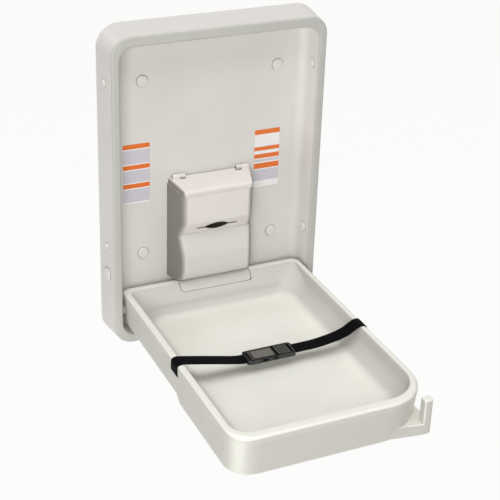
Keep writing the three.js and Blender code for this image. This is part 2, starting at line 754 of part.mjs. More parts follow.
addPiece('wall_shell', wallShell(), offWhite);
addPiece('back_plate', backPlate(), steel);
sites.forEach(([name, place, facing, radius]) => addPiece(name, cap(place, facing, radius), paleCap));
sides.forEach(([side, hand]) => {
  LEVELS.forEach((level, row) => {
    const from = at(hand * BOLT_X, PLATE_THICK + FIT_GAP, BOLT_RISES[row]);
    const to = at(hand * BOLT_X, PANEL_OUT - SHELL_SKIN - 2 * FIT_GAP, BOLT_RISES[row]);
    addPiece(`bolt_sleeve_${side}_${level}`, tube(from, to, SLEEVE_RADIUS, BOLT_RADIUS), steel);
  });
  addPiece(`hinge_plate_${side}`, hingePlate(hand), steel);
  const pinEnd = traySide(PIVOT_RISE) - PIN_REACH;
  addPiece(`hinge_pin_${side}`, headedPin(pinEnd, hand, PIVOT_OUT, PIVOT_RISE, PIN_RADIUS, PIN_HEAD), steel);
  const spacerStart = traySide(PIVOT_RISE + SPACER_RADIUS) + FIT_GAP;
  const spacerEnd = recessHalf(PIVOT_OUT - SPACER_RADIUS) - FIT_GAP;
  const spacer = across(spacerStart, spacerEnd, hand, PIVOT_OUT, PIVOT_RISE);
  addPiece(`hinge_spacer_${side}`, tube(...spacer, SPACER_RADIUS, PIN_RADIUS + BORE_GAP), paleCap);
  const stopEnd = TRAY_HALF + SIDE_GAP / 4;
  addPiece(`stop_pin_${side}`, headedPin(stopEnd, hand, STOP_OUT, STOP_RISE, STOP_RADIUS, PIN_HEAD), steel);
  const labelEnd = LABEL_END - (hand > 0 ? RIGHT_LABEL_INSET : 0);
  const labelMiddle = LABEL_RISE - (hand > 0 ? RIGHT_LABEL_DROP : 0);
  const label = along([labelEnd - LABEL_WIDTH, labelEnd], hand);
  const labelOut = [PANEL_OUT + FIT_GAP, PANEL_OUT + FIT_GAP + LABEL_THICK];
  const labelRise = [labelMiddle - LABEL_HEIGHT / 2, labelMiddle + LABEL_HEIGHT / 2];
  addPiece(`label_plate_${side}`, box(label, labelOut, labelRise), paper);
});
addPiece('crank_bracket', crankBracket(), steel);
const crankEnd = CHEEK_INNER + 1.5 * CHEEK_THICK;
addPiece('crank_pin', bar(...across(-crankEnd, crankEnd, 1, CRANK_OUT, CRANK_RISE), CRANK_RADIUS), steel);

// Liner dispenser: side profiles trimmed by a plan that narrows towards the front
function dispenserPlan(skin) {
  const back = PANEL_OUT - skin;
  const slope = (DISPENSER_BACK - DISPENSER_FRONT) / DISPENSER_DEPTH;
  const half = (out) => DISPENSER_BACK - slope * (out - PANEL_OUT) - skin;
  const front = DISPENSER_OUT + 2 * DISPENSER_SKIN;
  const plan = shapeOf([
    [-half(back), back],
    [half(back), back],
    [half(front), front],
    [-half(front), front],
  ]);
  return planProfile(plan, [DISPENSER_LOW - PACK_HEIGHT, LID_PIN_RISE + PACK_HEIGHT]);
}

const dispenserSpan = [-2 * DISPENSER_BACK, 2 * DISPENSER_BACK];
const trimmed = (shape, skin) => sideProfile(shape, dispenserSpan).intersect(dispenserPlan(skin));
const BODY_BACK = PANEL_OUT + FIT_GAP;
const CHIN_BACK_RISE = DISPENSER_CHIN - (CHIN_OUT - BODY_BACK) / 2;
const lidSlope = (out) => BODY_BACK_HIGH - (LID_SLOPE_DROP * (out - BODY_BACK)) / (DISPENSER_OUT - BODY_BACK);

function bodyOutline(skin) {
  return shapeOf([
    [BODY_BACK + skin, CHIN_BACK_RISE + 1.5 * skin],
    [CHIN_OUT, DISPENSER_CHIN + 1.2 * skin],
    [DISPENSER_OUT - 1.2 * skin, FACE_LOW + skin / 2],
    [DISPENSER_OUT - skin, FACE_HIGH + 10 * skin],
    [BODY_BACK + skin, BODY_BACK_HIGH + 10 * skin],
  ]);
}

// The slit is a long thin opening with an eye in its middle, square to the slanted lower face.
function linerSlit() {
  const slant = new THREE.Vector2(DISPENSER_OUT - CHIN_OUT, FACE_LOW - DISPENSER_CHIN).normalize();
  const midOut = (DISPENSER_OUT + CHIN_OUT) / 2;
  const midRise = (FACE_LOW + DISPENSER_CHIN) / 2;
  const slit = (height) => shapeOf([[-1, -1], [1, -1], [1, 1], [-1, 1]].map(([u, v]) => [
    midOut + (slant.x * v * height) / 2 + slant.y * u * 4 * DISPENSER_SKIN,
    midRise + (slant.y * v * height) / 2 - slant.x * u * 4 * DISPENSER_SKIN,
  ]));
  return join(
    sideProfile(slit(SLIT_HEIGHT), [-SLIT_LENGTH / 2, SLIT_LENGTH / 2]),
    sideProfile(slit((SLIT_HEIGHT + SLIT_EYE_HEIGHT) / 2), [-SLIT_EYE / 2, SLIT_EYE / 2]),
    sideProfile(slit(SLIT_EYE_HEIGHT), [-SLIT_EYE / 3, SLIT_EYE / 3]),
  );
}

const lidAxis = (x0, x1, hand) => across(x0, x1, hand, LID_PIN_OUT, LID_PIN_RISE);
const KNUCKLE_START = EAR_X + EAR_LENGTH + FIT_GAP;
const KNUCKLE_END = KNUCKLE_START + KNUCKLE_LENGTH;
const lidBores = () => sides.map(([, hand]) => (
  bar(...lidAxis(EAR_X - 1, KNUCKLE_END + 1, hand), LID_PIN_RADIUS + BORE_GAP, SMALL_SIDES)
));

function dispenserBody() {
  const post = [BODY_BACK, BODY_BACK + DISPENSER_SKIN];
  const ears = sides.map(([, hand]) => {
    const span = along([EAR_X, EAR_X + EAR_LENGTH], hand);
    return join(
      box(span, post, [FACE_LOW, LID_PIN_RISE]),
      box(span, [BODY_BACK, LID_PIN_OUT], [LID_PIN_RISE - KNUCKLE_RADIUS, LID_PIN_RISE]),
      bar(...lidAxis(EAR_X, EAR_X + EAR_LENGTH, hand), KNUCKLE_RADIUS),
    );
  });
  const outer = trimmed(bodyOutline(0), 0);
  const inner = trimmed(bodyOutline(DISPENSER_SKIN), DISPENSER_SKIN);
  return cut(join(cut(outer, inner, linerSlit()), ...ears), ...lidBores());
}

function lidOutline(skin) {
  const rear = BODY_BACK + DISPENSER_SKIN + 4 * FIT_GAP;
  const under = (out) => lidSlope(out) + FIT_GAP - 10 * skin;
  const top = (out) => LID_HIGH - (LID_SLOPE_DROP * (out - rear)) / (DISPENSER_OUT - rear) - skin;
  const front = DISPENSER_OUT - skin;
  return shapeOf([
    [rear + skin, under(rear)],
    [front, under(front)],
    [front, top(front) - 2 * DISPENSER_SKIN],
    [front - 2 * DISPENSER_SKIN, top(front - 2 * DISPENSER_SKIN)],
    [rear + skin, top(rear)],
  ]);
}

function dispenserLid() {
  const skin = cut(trimmed(lidOutline(0), 0), trimmed(lidOutline(DISPENSER_SKIN), DISPENSER_SKIN));
  const room = 2 * KNUCKLE_RADIUS + 2 * FIT_GAP;
  const notches = sides.map(([, hand]) => box(
    along([EAR_X - 1, KNUCKLE_START], hand),
    [PANEL_OUT, LID_PIN_OUT + room],
    [BODY_BACK_HIGH - room, LID_PIN_RISE + room],
  ));
  const web = [LID_PIN_OUT - DISPENSER_SKIN, LID_PIN_OUT + DISPENSER_SKIN];
  const knuckles = sides.map(([, hand]) => join(
    box(along([KNUCKLE_START, KNUCKLE_END], hand), web, [LID_HIGH - DISPENSER_SKIN, LID_PIN_RISE]),
    bar(...lidAxis(KNUCKLE_START, KNUCKLE_END, hand), KNUCKLE_RADIUS),
  ));
  return cut(join(cut(skin, ...notches), ...knuckles), ...lidBores());
}

function housingOutline(skin) {
  const shape = new THREE.Shape();
  const rear = BODY_BACK - skin;
  const low = DISPENSER_LOW + skin;
  const belly = BELLY_OUT - skin;
  const drop = FIT_GAP + 1.5 * skin;
  shape.moveTo(rear, low);
  shape.lineTo(BELLY_OUT - HOUSING_FOOT, low);
  shape.quadraticCurveTo(belly, low, belly, DISPENSER_LOW + 2 * HOUSING_FOOT);
  shape.lineTo(belly, (DISPENSER_LOW + DISPENSER_CHIN) / 2);
  const shoulder = DISPENSER_CHIN - 2 * HOUSING_FOOT;
  shape.quadraticCurveTo(belly, shoulder, CHIN_OUT - skin / 2, DISPENSER_CHIN - drop);
  shape.lineTo(rear, CHIN_BACK_RISE - drop);
  return shape;
}

addPiece('dispenser_body', dispenserBody(), offWhite);
addPiece('dispenser_lid', dispenserLid(), offWhite);
sides.forEach(([side, hand]) => {
  const pin = lidAxis(EAR_X + 1, KNUCKLE_END - 1, hand);
  addPiece(`lid_pin_${side}`, bar(...pin, LID_PIN_RADIUS, SMALL_SIDES), steel);
});
const housingHollow = trimmed(housingOutline(DISPENSER_SKIN), DISPENSER_SKIN);
addPiece('lower_housing', cut(trimmed(housingOutline(0), 0), housingHollow), offWhite);
const packLow = FACE_LOW + DISPENSER_SKIN;
const packHalf = DISPENSER_FRONT - 4 * DISPENSER_SKIN;
const packOut = [BODY_BACK + 2 * DISPENSER_SKIN, DISPENSER_OUT - 4 * DISPENSER_SKIN];
addPiece('liner_pack', box([-packHalf, packHalf], packOut, [packLow, packLow + PACK_HEIGHT]), paper);

// Pieces of the tray
const COVER_OUT = TRAY_REAR + REAR_ROUND + DISPENSER_SKIN;
const coverBlock = (gap) => box(
  [gap - COVER_HALF, COVER_HALF - gap],
  [COVER_OUT + gap, COVER_OUT + 2 * BASIN_RUN],
  [RIM_RISE - COVER_DROP + gap, RIM_RISE + BED_SKIN],
);
const bed = bedMoulding();
addPiece('tray_bed', cut(bed, coverBlock(0)), offWhite);
addPiece('rear_cover', bed.intersect(coverBlock(COVER_GAP)), offWhite);

const strapSpan = [STRAP_OUT - STRAP_WIDTH / 2, STRAP_OUT + STRAP_WIDTH / 2];
const slotSpan = [strapSpan[0] - STRAP_THICK, strapSpan[1] + STRAP_THICK];

function trayShell() {
  const tools = [panBlock(PAN_SKIN)];
  tools.push(box(
    [-SLOT_HALF, SLOT_HALF],
    [TRAY_REAR - PAN_SKIN, CRANK_OUT + 2 * CHEEK_BOSS],
    [PAN_RISE - PAN_SKIN, PIVOT_RISE],
  ));
  sides.forEach(([, hand]) => {
    const skin = [TRAY_HALF - 4 * PAN_SKIN, TRAY_HALF + PAN_SKIN];
    tools.push(bar(...across(...skin, hand, PIVOT_OUT, PIVOT_RISE), BUSH_RADIUS + BORE_GAP));
    tools.push(bar(...across(...skin, hand, STUD_OUT, STUD_RISE), STOP_RADIUS / 2 + BORE_GAP, SMALL_SIDES));
    const slotRise = [STRAP_SLOT_RISE - STRAP_THICK, STRAP_SLOT_RISE + STRAP_THICK];
    tools.push(box(along(skin, hand), slotSpan, slotRise));
  });
  return cut(join(panBlock(0), bagHook()), ...tools);
}

addPiece('tray_shell', trayShell(), offWhite);

// A flat strip along a row of [x, rise] points.
function ribbon(points) {
  const path = points.map(([x, rise]) => new THREE.Vector2(x, rise));
  const edge = (side) => path.map((point, k) => {
    const before = path[Math.max(k - 1, 0)];
    const after = path[Math.min(k + 1, path.length - 1)];
    const heading = after.clone().sub(before).normalize();
    return [point.x - (side * heading.y * STRAP_THICK) / 2, point.y + (side * heading.x * STRAP_THICK) / 2];
  });
  return frontProfile(shapeOf([...edge(1), ...edge(-1).toReversed()]), strapSpan);
}

// The strap comes out of its slot, goes up the outside, over the rim and down to the buckle.
const strapClear = FIT_GAP + STRAP_THICK / 2;
function strapOverRim(hand) {
  const wall = TRAY_HALF + strapClear;
  const over = quarter(EDGE_STEPS).map((turn) => [
    TRAY_HALF - BEAD_ROUND + (BEAD_ROUND + strapClear) * Math.cos(turn),
    RIM_RISE - BEAD_ROUND + (BEAD_ROUND + strapClear) * Math.sin(turn),
  ]);
  const path = [
    [traySide(STRAP_SLOT_RISE) - 3 * PAN_SKIN, STRAP_SLOT_RISE],
    [wall - STRAP_THICK / 2, STRAP_SLOT_RISE],
    [wall, STRAP_SLOT_RISE + STRAP_THICK],
    ...over,
    [TRAY_HALF - LIP_SIDE - LIP_DROP, RIM_RISE + strapClear],
  ];
  return path.map(([x, rise]) => [hand * x, rise]);
}

const PLUG_LEFT = SOCKET_RIGHT + FIT_GAP;
const PLUG_RIGHT = PLUG_LEFT + PLUG_LENGTH;
const strapDrop = RIM_RISE - BUCKLE_RISE;
const leftStrap = [
  ...strapOverRim(-1),
  [SOCKET_LEFT - STRAP_WIDTH, BUCKLE_RISE + strapDrop * 0.16],
  [SOCKET_LEFT - STRAP_WIDTH / 2, BUCKLE_RISE + strapDrop * 0.04],
  [SOCKET_LEFT - STRAP_INSERT, BUCKLE_RISE],
  [SOCKET_LEFT + STRAP_INSERT, BUCKLE_RISE],
];
const straightEnd = PLUG_RIGHT + PLUG_TRAVEL + STRAP_INSERT;
const sagSpan = TRAY_HALF - LIP_SIDE - LIP_DROP - straightEnd;
const rightStrap = [
  ...strapOverRim(1),
  [straightEnd + sagSpan * 0.78, BUCKLE_RISE + strapDrop * 0.52],
  [straightEnd + sagSpan * 0.5, BUCKLE_RISE + strapDrop * 0.2],
  [straightEnd + sagSpan * 0.22, BUCKLE_RISE + strapDrop * 0.04],
  [straightEnd, BUCKLE_RISE],
  [PLUG_RIGHT - STRAP_INSERT, BUCKLE_RISE],
];

// Buckle parts lie on the strap's middle line; a block is given by its x span, half width and half height.
const buckleBlock = (x, halfWidth, halfHeight) => box(
  x,
  [STRAP_OUT - halfWidth, STRAP_OUT + halfWidth],
  [BUCKLE_RISE - halfHeight, BUCKLE_RISE + halfHeight],
);
const strapBore = [STRAP_WIDTH / 2 + STRAP_THICK, STRAP_THICK / 2 + 4 * FIT_GAP];
const mouthHalf = BUCKLE_THICK / 2 - SOCKET_WALL;

function buckleCase([x0, x1], nose) {
  const plan = new THREE.Shape();
  const half = BUCKLE_WIDTH / 2;
  const end = nose > 0 ? x1 : x0;
  const flat = nose > 0 ? x0 : x1;
  const round = half / 4;
  plan.moveTo(flat, STRAP_OUT - half);
  plan.lineTo(end - nose * round, STRAP_OUT - half);
  plan.quadraticCurveTo(end, STRAP_OUT - half, end, STRAP_OUT - half + round);
  plan.lineTo(end, STRAP_OUT + half - round);
  plan.quadraticCurveTo(end, STRAP_OUT + half, end - nose * round, STRAP_OUT + half);
  plan.lineTo(flat, STRAP_OUT + half);
  return planProfile(plan, [BUCKLE_RISE - BUCKLE_THICK / 2, BUCKLE_RISE + BUCKLE_THICK / 2]);
}

function buckleSocket() {
  return cut(
    buckleCase([SOCKET_LEFT, SOCKET_RIGHT], -1),
    buckleBlock([SOCKET_RIGHT - SOCKET_MOUTH, SOCKET_RIGHT + SOCKET_MOUTH], BUCKLE_WIDTH, mouthHalf),
    buckleBlock([SOCKET_LEFT - STRAP_INSERT, SOCKET_LEFT + 2 * STRAP_INSERT], ...strapBore),
  );
}

function bucklePlug() {
  const reach = [PLUG_LEFT - PRONG_LENGTH, PLUG_LEFT + FIT_GAP];
  const tongue = buckleBlock(reach, BUCKLE_WIDTH / 8, mouthHalf - 2 * FIT_GAP);
  const stop = PLUG_RIGHT - PLUG_TRAVEL - STRAP_INSERT - 4 * FIT_GAP;
  return cut(
    join(buckleCase([PLUG_LEFT, PLUG_RIGHT], 1), tongue),
    buckleBlock([stop, PLUG_RIGHT + STRAP_INSERT], ...strapBore),
  );
}

// A latch arm beside the tongue, with a finger pad that stands out of the socket's open side.
function buckleLatch(hand) {
  const half = BUCKLE_WIDTH / 2;
  const arm = shapeOf([
    [PLUG_LEFT - FIT_GAP, STRAP_OUT + hand * half * 0.55],
    [PLUG_LEFT - PRONG_LENGTH, STRAP_OUT + hand * half * 0.55],
    [PLUG_LEFT - PRONG_LENGTH, STRAP_OUT + hand * half * 0.7],
    [PLUG_LEFT - PRONG_LENGTH * 0.92, STRAP_OUT + hand * half * 1.06],
    [PLUG_LEFT - PRONG_LENGTH * 0.4, STRAP_OUT + hand * half * 1.06],
    [PLUG_LEFT - PRONG_LENGTH * 0.3, STRAP_OUT + hand * half * 0.75],
    [PLUG_LEFT - FIT_GAP, STRAP_OUT + hand * half * 0.75],
  ]);
  const tall = mouthHalf - 2 * FIT_GAP;
  return planProfile(arm, [BUCKLE_RISE - tall, BUCKLE_RISE + tall]);
}

sides.forEach(([side, hand]) => {
  const wall = traySide(PIVOT_RISE);
  const axis = new THREE.Vector3(-hand, 0, 0);
  const start = at(hand * (wall - FIT_GAP), PIVOT_OUT, PIVOT_RISE);
  const inside = PAN_SKIN + FIT_GAP + wall - traySide(PIVOT_RISE - BUSH_FLANGE);
  const bore = PIN_RADIUS + BORE_GAP;
  const profile = [
    [bore, 0],
    [BUSH_RADIUS, 0],
    [BUSH_RADIUS, inside],
    [BUSH_FLANGE, inside],
    [BUSH_FLANGE, inside + BUSH_WALL],
    [BUSH_RADIUS, inside + BUSH_WALL],
    [BUSH_RADIUS, PIN_REACH],
    [bore, PIN_REACH],
    [bore, 0],
  ];
  addPiece(`hinge_bush_${side}`, turned(profile, start, axis), darkPlastic);
  const studStem = traySide(STUD_RISE) - 2 * PAN_SKIN;
  const studEnd = filletHalf(STUD_OUT - STOP_RADIUS) - STUD_GAP - studStem;
  const studNeck = traySide(STUD_RISE + STOP_RADIUS) + FIT_GAP - studStem;
  const stud = [
    [0, 0],
    [STOP_RADIUS / 2, 0],
    [STOP_RADIUS / 2, studNeck],
    [STOP_RADIUS, studNeck],
    [STOP_RADIUS, studEnd],
    [0, studEnd],
  ];
  const studStart = at(hand * studStem, STUD_OUT, STUD_RISE);
  addPiece(`stop_stud_${side}`, turned(stud, studStart, new THREE.Vector3(hand, 0, 0)), steel);
  const barX = hand * (traySide(STRAP_SLOT_RISE) - 3 * PAN_SKIN - STRAP_BAR_RADIUS - FIT_GAP);
  const barEnds = slotSpan.map((out, k) => at(barX, out + (2 * k - 1) * STRAP_WIDTH / 4, STRAP_SLOT_RISE));
  addPiece(`strap_bar_${side}`, bar(...barEnds, STRAP_BAR_RADIUS, SMALL_SIDES), steel);
  addPiece(`strap_${side}`, ribbon(hand > 0 ? rightStrap : leftStrap), webbing);
});
addPiece('buckle_socket', buckleSocket(), darkPlastic);
addPiece('buckle_plug', bucklePlug(), darkPlastic);
addPiece('buckle_latch_front', buckleLatch(1), darkPlastic);
addPiece('buckle_latch_back', buckleLatch(-1), darkPlastic);

// Gas spring: the fixed crank pin runs in the slotted rod end as the tray turns about its hinge.
function gasRod() {
  const half = CRANK_RADIUS + YOKE_PLAY;
  const low = PIVOT_RISE - CRANK_SWEEP - CRANK_RADIUS - 2 * FIT_GAP;
  const high = CRANK_RISE + CRANK_RADIUS + 2 * FIT_GAP;
  const plate = box(
    [-YOKE_THICK / 2, YOKE_THICK / 2],
    [CRANK_OUT - half - YOKE_WALL, CRANK_OUT + half + YOKE_WALL],
    [low - YOKE_WALL, high + YOKE_WALL],
  );
  const slot = box([-YOKE_THICK, YOKE_THICK], [CRANK_OUT - half, CRANK_OUT + half], [low, high]);
  const rod = bar(at(0, CRANK_OUT + half + YOKE_WALL / 2, ROD_RISE), at(0, ROD_END, ROD_RISE), ROD_RADIUS);
  return join(cut(plate, slot), rod);
}

function gasTube() {
  const bore = ROD_RADIUS + BORE_GAP;
  const depth = ROD_END - TUBE_REAR + 4 * TUBE_RADIUS;
  const profile = [
    [bore, 0],
    [TUBE_RADIUS, 0],
    [TUBE_RADIUS, TUBE_LENGTH],
    [0, TUBE_LENGTH],
    [0, depth],
    [bore, depth],
    [bore, 0],
  ];
  return turned(profile, at(0, TUBE_REAR, ROD_RISE), new THREE.Vector3(0, -1, 0));
}

function tubeClamp() {
  const end = TUBE_REAR + TUBE_LENGTH - TUBE_RADIUS;
  const span = [end - 3 * TUBE_RADIUS, end];
  const tall = [PAN_RISE + PAN_SKIN + FIT_GAP, ROD_RISE + TUBE_RADIUS / 2];
  const block = box([-2 * TUBE_RADIUS, 2 * TUBE_RADIUS], span, tall);
  const seat = bar(at(0, span[0] - 1, ROD_RISE), at(0, span[1] + 1, ROD_RISE), TUBE_RADIUS + BORE_GAP);
  return cut(block, seat);
}

addPiece('gas_rod', gasRod(), steel);
addPiece('gas_tube', gasTube(), blackSteel);
addPiece('tube_clamp', tubeClamp(), steel);

export default station;
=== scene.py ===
# %% [markdown]
# # A fold-down changing station, dressed in Blender
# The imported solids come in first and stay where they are. They give every place and size, and the
# hidden steelwork is shown as it comes. The mouldings, the strap, the buckle and the labels are
# modelled again here, with softer edges and more detail, and each new piece then stands for its solid.

# %% Load the solids
import json
import math

import bmesh
import bpy
from mathutils import Matrix, Vector

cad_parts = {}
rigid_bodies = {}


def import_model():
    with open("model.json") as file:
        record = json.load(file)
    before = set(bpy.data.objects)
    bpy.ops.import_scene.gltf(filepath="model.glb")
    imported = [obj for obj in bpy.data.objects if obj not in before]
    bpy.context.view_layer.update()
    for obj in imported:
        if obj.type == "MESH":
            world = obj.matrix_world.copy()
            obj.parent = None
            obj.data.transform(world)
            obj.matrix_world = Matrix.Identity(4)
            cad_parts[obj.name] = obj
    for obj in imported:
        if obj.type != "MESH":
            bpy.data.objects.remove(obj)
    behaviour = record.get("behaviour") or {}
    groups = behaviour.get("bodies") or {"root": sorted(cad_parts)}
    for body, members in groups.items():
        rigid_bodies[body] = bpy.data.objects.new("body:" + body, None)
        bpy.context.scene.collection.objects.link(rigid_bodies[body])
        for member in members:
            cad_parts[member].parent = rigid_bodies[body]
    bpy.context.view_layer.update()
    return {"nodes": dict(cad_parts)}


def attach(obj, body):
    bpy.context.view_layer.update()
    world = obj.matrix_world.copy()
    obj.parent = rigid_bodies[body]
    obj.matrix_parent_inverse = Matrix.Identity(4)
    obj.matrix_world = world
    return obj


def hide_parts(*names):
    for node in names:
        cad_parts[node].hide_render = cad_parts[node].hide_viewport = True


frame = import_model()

nodes = frame["nodes"]

# %% [markdown]
# ## Places in millimetres
# The station was drawn with three plain measures: x to the right, the distance out from the wall, and
# the rise above the lower edge of the case. One function turns these into Blender's metres, so the
# rest of the lesson can use the numbers that a maker would read off a drawing.

# %% A place on the station
CASE_HEIGHT = 820


def spot(x, out, rise):
    return Vector((x, -out, rise - CASE_HEIGHT / 2)) / 1000


print("top right corner of the case", spot(280, 86, CASE_HEIGHT))

# %% [markdown]
# ## The camera
# The picture was taken from the left and from above with a fairly long lens, and the horizon leans a
# little. A camera can be aimed by hand with a Track To constraint, but then the lean is hard to add.
# Here three directions are worked out, to the right, up and back, and they become the columns of the
# camera's matrix.

# %% Camera
around, above, lean = math.radians(25.37), math.radians(27.56), math.radians(2.03)
back = Vector((-math.sin(around) * math.cos(above), -math.cos(around) * math.cos(above), math.sin(above)))
level = Vector((math.cos(around), -math.sin(around), 0))
upward = back.cross(level)
right = level * math.cos(lean) + upward * math.sin(lean)
up = upward * math.cos(lean) - level * math.sin(lean)
aim = spot(130.4, 0, 158)

lens = bpy.data.cameras.new("studio_camera")
lens.sensor_width = 36
lens.lens = 95.2
lens.clip_start, lens.clip_end = 0.05, 200
camera = bpy.data.objects.new("studio_camera", lens)
bpy.context.scene.collection.objects.link(camera)
columns = Matrix((right, up, back)).transposed().to_4x4()
camera.matrix_world = Matrix.Translation(aim + back * 3.545) @ columns
bpy.context.scene.camera = camera
print("camera at", *(f"{v:.2f}" for v in camera.location), "m")

# %% [markdown]
# ## Colours and nodes
# A colour picked from a screen is an sRGB hex value, and shader sockets want linear light, so one
# function converts. One more adds a node, sets its values and makes its links, which keeps every
# finish below short enough to read as a recipe.

# %% Helpers for finishes
def tint(code):
    parts = [int(code[i:i + 2], 16) / 255 for i in (1, 3, 5)]
    return tuple(c / 12.92 if c <= 0.04045 else ((c + 0.055) / 1.055) ** 2.4 for c in parts) + (1.0,)


def add_node(finish, kind, inputs=None, **settings):
    node = finish.node_tree.nodes.new(kind)
    for name, value in settings.items():
        setattr(node, name, value)
    for name, value in (inputs or {}).items():
        if isinstance(value, bpy.types.NodeSocket):
            finish.node_tree.links.new(value, node.inputs[name])
        else:
            node.inputs[name].default_value = value
    return node


def new_finish(name, roughness, metallic=0.0, ior=1.5):
    finish = bpy.data.materials.new(name)
    finish.use_nodes = True
    shader = finish.node_tree.nodes["Principled BSDF"]
    shader.inputs["Roughness"].default_value = roughness
    shader.inputs["Metallic"].default_value = metallic
    shader.inputs["IOR"].default_value = ior
    return finish, shader


def feed(finish, socket, target):
    finish.node_tree.links.new(socket, target)


def per_metre(size_mm):
    return 1000 / size_mm


print("off-white in linear light", *(f"{c:.3f}" for c in tint("#D9D7CF")[:3]))

# %% [markdown]
# ## Moulded polyethylene
# The case, the tray and the dispenser are rotationally moulded polyethylene. The mould's blasted surface leaves a
# fine grain, the pigment is never quite even, and cleaning leaves faint scuffs. The grain is about 0.5 mm on the real
# thing. It is drawn at 2.2 mm, because a finer one would vanish at the size of the picture. All of it comes from
# noise on Object coordinates, so nothing slides when the tray folds. Some faces also get painted shade: the steep
# walls of the basin, the sides of the dispenser and of its housing, the flat sides of the tray beside its round
# corners, and the faces of the case that point up or down. A lamp alone would shade their neighbours too, so a finish
# may read how far a face is turned, from the Object normal, and mix in a greyer tone there as painted shade.

# %% Polyethylene
# Painted shade: a greyer tone mixed in by how far a face is turned along the given axes.
def paint_shade_by_facing(finish, colour, facing, axes, start, end, code):
    parts = add_node(finish, "ShaderNodeSeparateXYZ", {"Vector": facing})
    turned = 0.0
    for axis in axes:
        size = add_node(finish, "ShaderNodeMath", {0: parts.outputs[axis]}, operation="ABSOLUTE")
        turned = add_node(finish, "ShaderNodeMath", {0: size.outputs["Value"], 1: turned},
                          operation="MAXIMUM").outputs["Value"]
    share = add_node(finish, "ShaderNodeMapRange", {"Value": turned, "From Min": start, "From Max": end},
                     interpolation_type="SMOOTHSTEP")
    return add_node(finish, "ShaderNodeMix", {"Factor": share.outputs["Result"], "A": colour, "B": tint(code)},
                    data_type="RGBA").outputs["Result"]


def polyethylene(name, pale, deep, roughness, grain=2.2, relief=0.16, grey=None):
    finish, shader = new_finish(name, roughness, ior=1.49)
    coordinates = add_node(finish, "ShaderNodeTexCoord")
    place = coordinates.outputs["Object"]
    cloud = add_node(finish, "ShaderNodeTexNoise",
                     {"Vector": place, "Scale": per_metre(160), "Detail": 4.0, "Roughness": 0.55})
    spread = add_node(finish, "ShaderNodeMapRange",
                      {"Value": cloud.outputs["Fac"], "From Min": 0.3, "From Max": 0.7})
    colour = add_node(finish, "ShaderNodeMix", {"Factor": spread.outputs["Result"], "A": tint(pale),
                                                "B": tint(deep)}, data_type="RGBA").outputs["Result"]
    # painted shade by facing, where the finish asks for it
    if grey:
        colour = paint_shade_by_facing(finish, colour, coordinates.outputs["Normal"], *grey)
    feed(finish, colour, shader.inputs["Base Color"])
    stretched = add_node(finish, "ShaderNodeMapping", {"Vector": place, "Scale": (1.0, 0.12, 0.3)})
    scuff = add_node(finish, "ShaderNodeTexNoise",
                     {"Vector": stretched.outputs["Vector"], "Scale": per_metre(5), "Detail": 3.0})
    polish = add_node(finish, "ShaderNodeMapRange",
                      {"Value": scuff.outputs["Fac"], "From Min": 0.35, "From Max": 0.75,
                       "To Min": roughness + 0.06, "To Max": roughness - 0.08})
    feed(finish, polish.outputs["Result"], shader.inputs["Roughness"])
    pits = add_node(finish, "ShaderNodeTexNoise",
                    {"Vector": place, "Scale": per_metre(grain), "Detail": 2.0, "Roughness": 0.6})
    bump = add_node(finish, "ShaderNodeBump",
                    {"Height": pits.outputs["Fac"], "Strength": relief, "Distance": 0.0006})
    feed(finish, bump.outputs["Normal"], shader.inputs["Normal"])
    return finish


# Painted shade: the case's faces that point up or down get a greyer tone.
case_plastic = polyethylene("grained_polyethylene_case", "#DDDAD5", "#D6D3CE", 0.50,
                            grey=("Z", 0.7, 0.98, "#CDCAC5"))
rim_plastic = polyethylene("grained_polyethylene_rim", "#BCBBB5", "#B6B5AF", 0.58, grain=1.8, relief=0.22)
# Painted shade: the tray's flat sides and front get a greyer tone, so its round corners look lit.
tray_plastic = polyethylene("grained_polyethylene_tray", "#E4E3DA", "#DDDCD2", 0.46,
                            grey=("XY", 0.74, 0.97, "#C8C6BE"))
# Painted shade: the basin's steep walls get a greyer tone that fades out on its floor.
basin_plastic = polyethylene("grained_polyethylene_basin", "#E4E3DA", "#DDDCD2", 0.46,
                             grey=("Z", 0.985, 0.84, "#C0BDB8"))
# Painted shade on the sides of the box and of the housing. The housing also has a slightly darker tone than the box.
box_plastic = polyethylene("smooth_abs_dispenser", "#E6E1DB", "#E0DAD4", 0.40, grain=1.6, relief=0.08,
                           grey=("X", 0.05, 0.85, "#827D77"))
housing_plastic = polyethylene("smooth_abs_housing", "#DAD6D1", "#D4D0CB", 0.40, grain=1.6, relief=0.08,
                               grey=("X", 0.05, 0.85, "#827D77"))
# Painted shade: the inner faces of the box and the walls of its slit take this dark tone.
box_painted_shade_inside = polyethylene("smooth_abs_painted_shade_inside", "#76726B", "#6E6A63", 0.60, grain=1.6, relief=0.08)
cap_plastic = polyethylene("smooth_abs_cap", "#DFDCD7", "#D9D6D1", 0.42, grain=1.6, relief=0.06)
# Painted shade: the dark ring under each cap stands for the shade round it. The hidden hinge spacers use the same
# grey plastic.
grey_spacer_and_painted_shade = polyethylene("grey_plastic_and_painted_shade_ring", "#95938F", "#8D8B87", 0.60, grain=1.6, relief=0.06)
print(len(bpy.data.materials), "materials so far")

# %% [markdown]
# ## Steel, black paint, chrome and nylon
# The hidden hinge parts are zinc-plated steel, whose plating shows as soft grey patches. The spring's
# tube is painted black over a slight orange peel, its rod is hard chrome with fine drawing lines, and
# the hinge bushes are dark nylon. A metal keeps the default IOR.

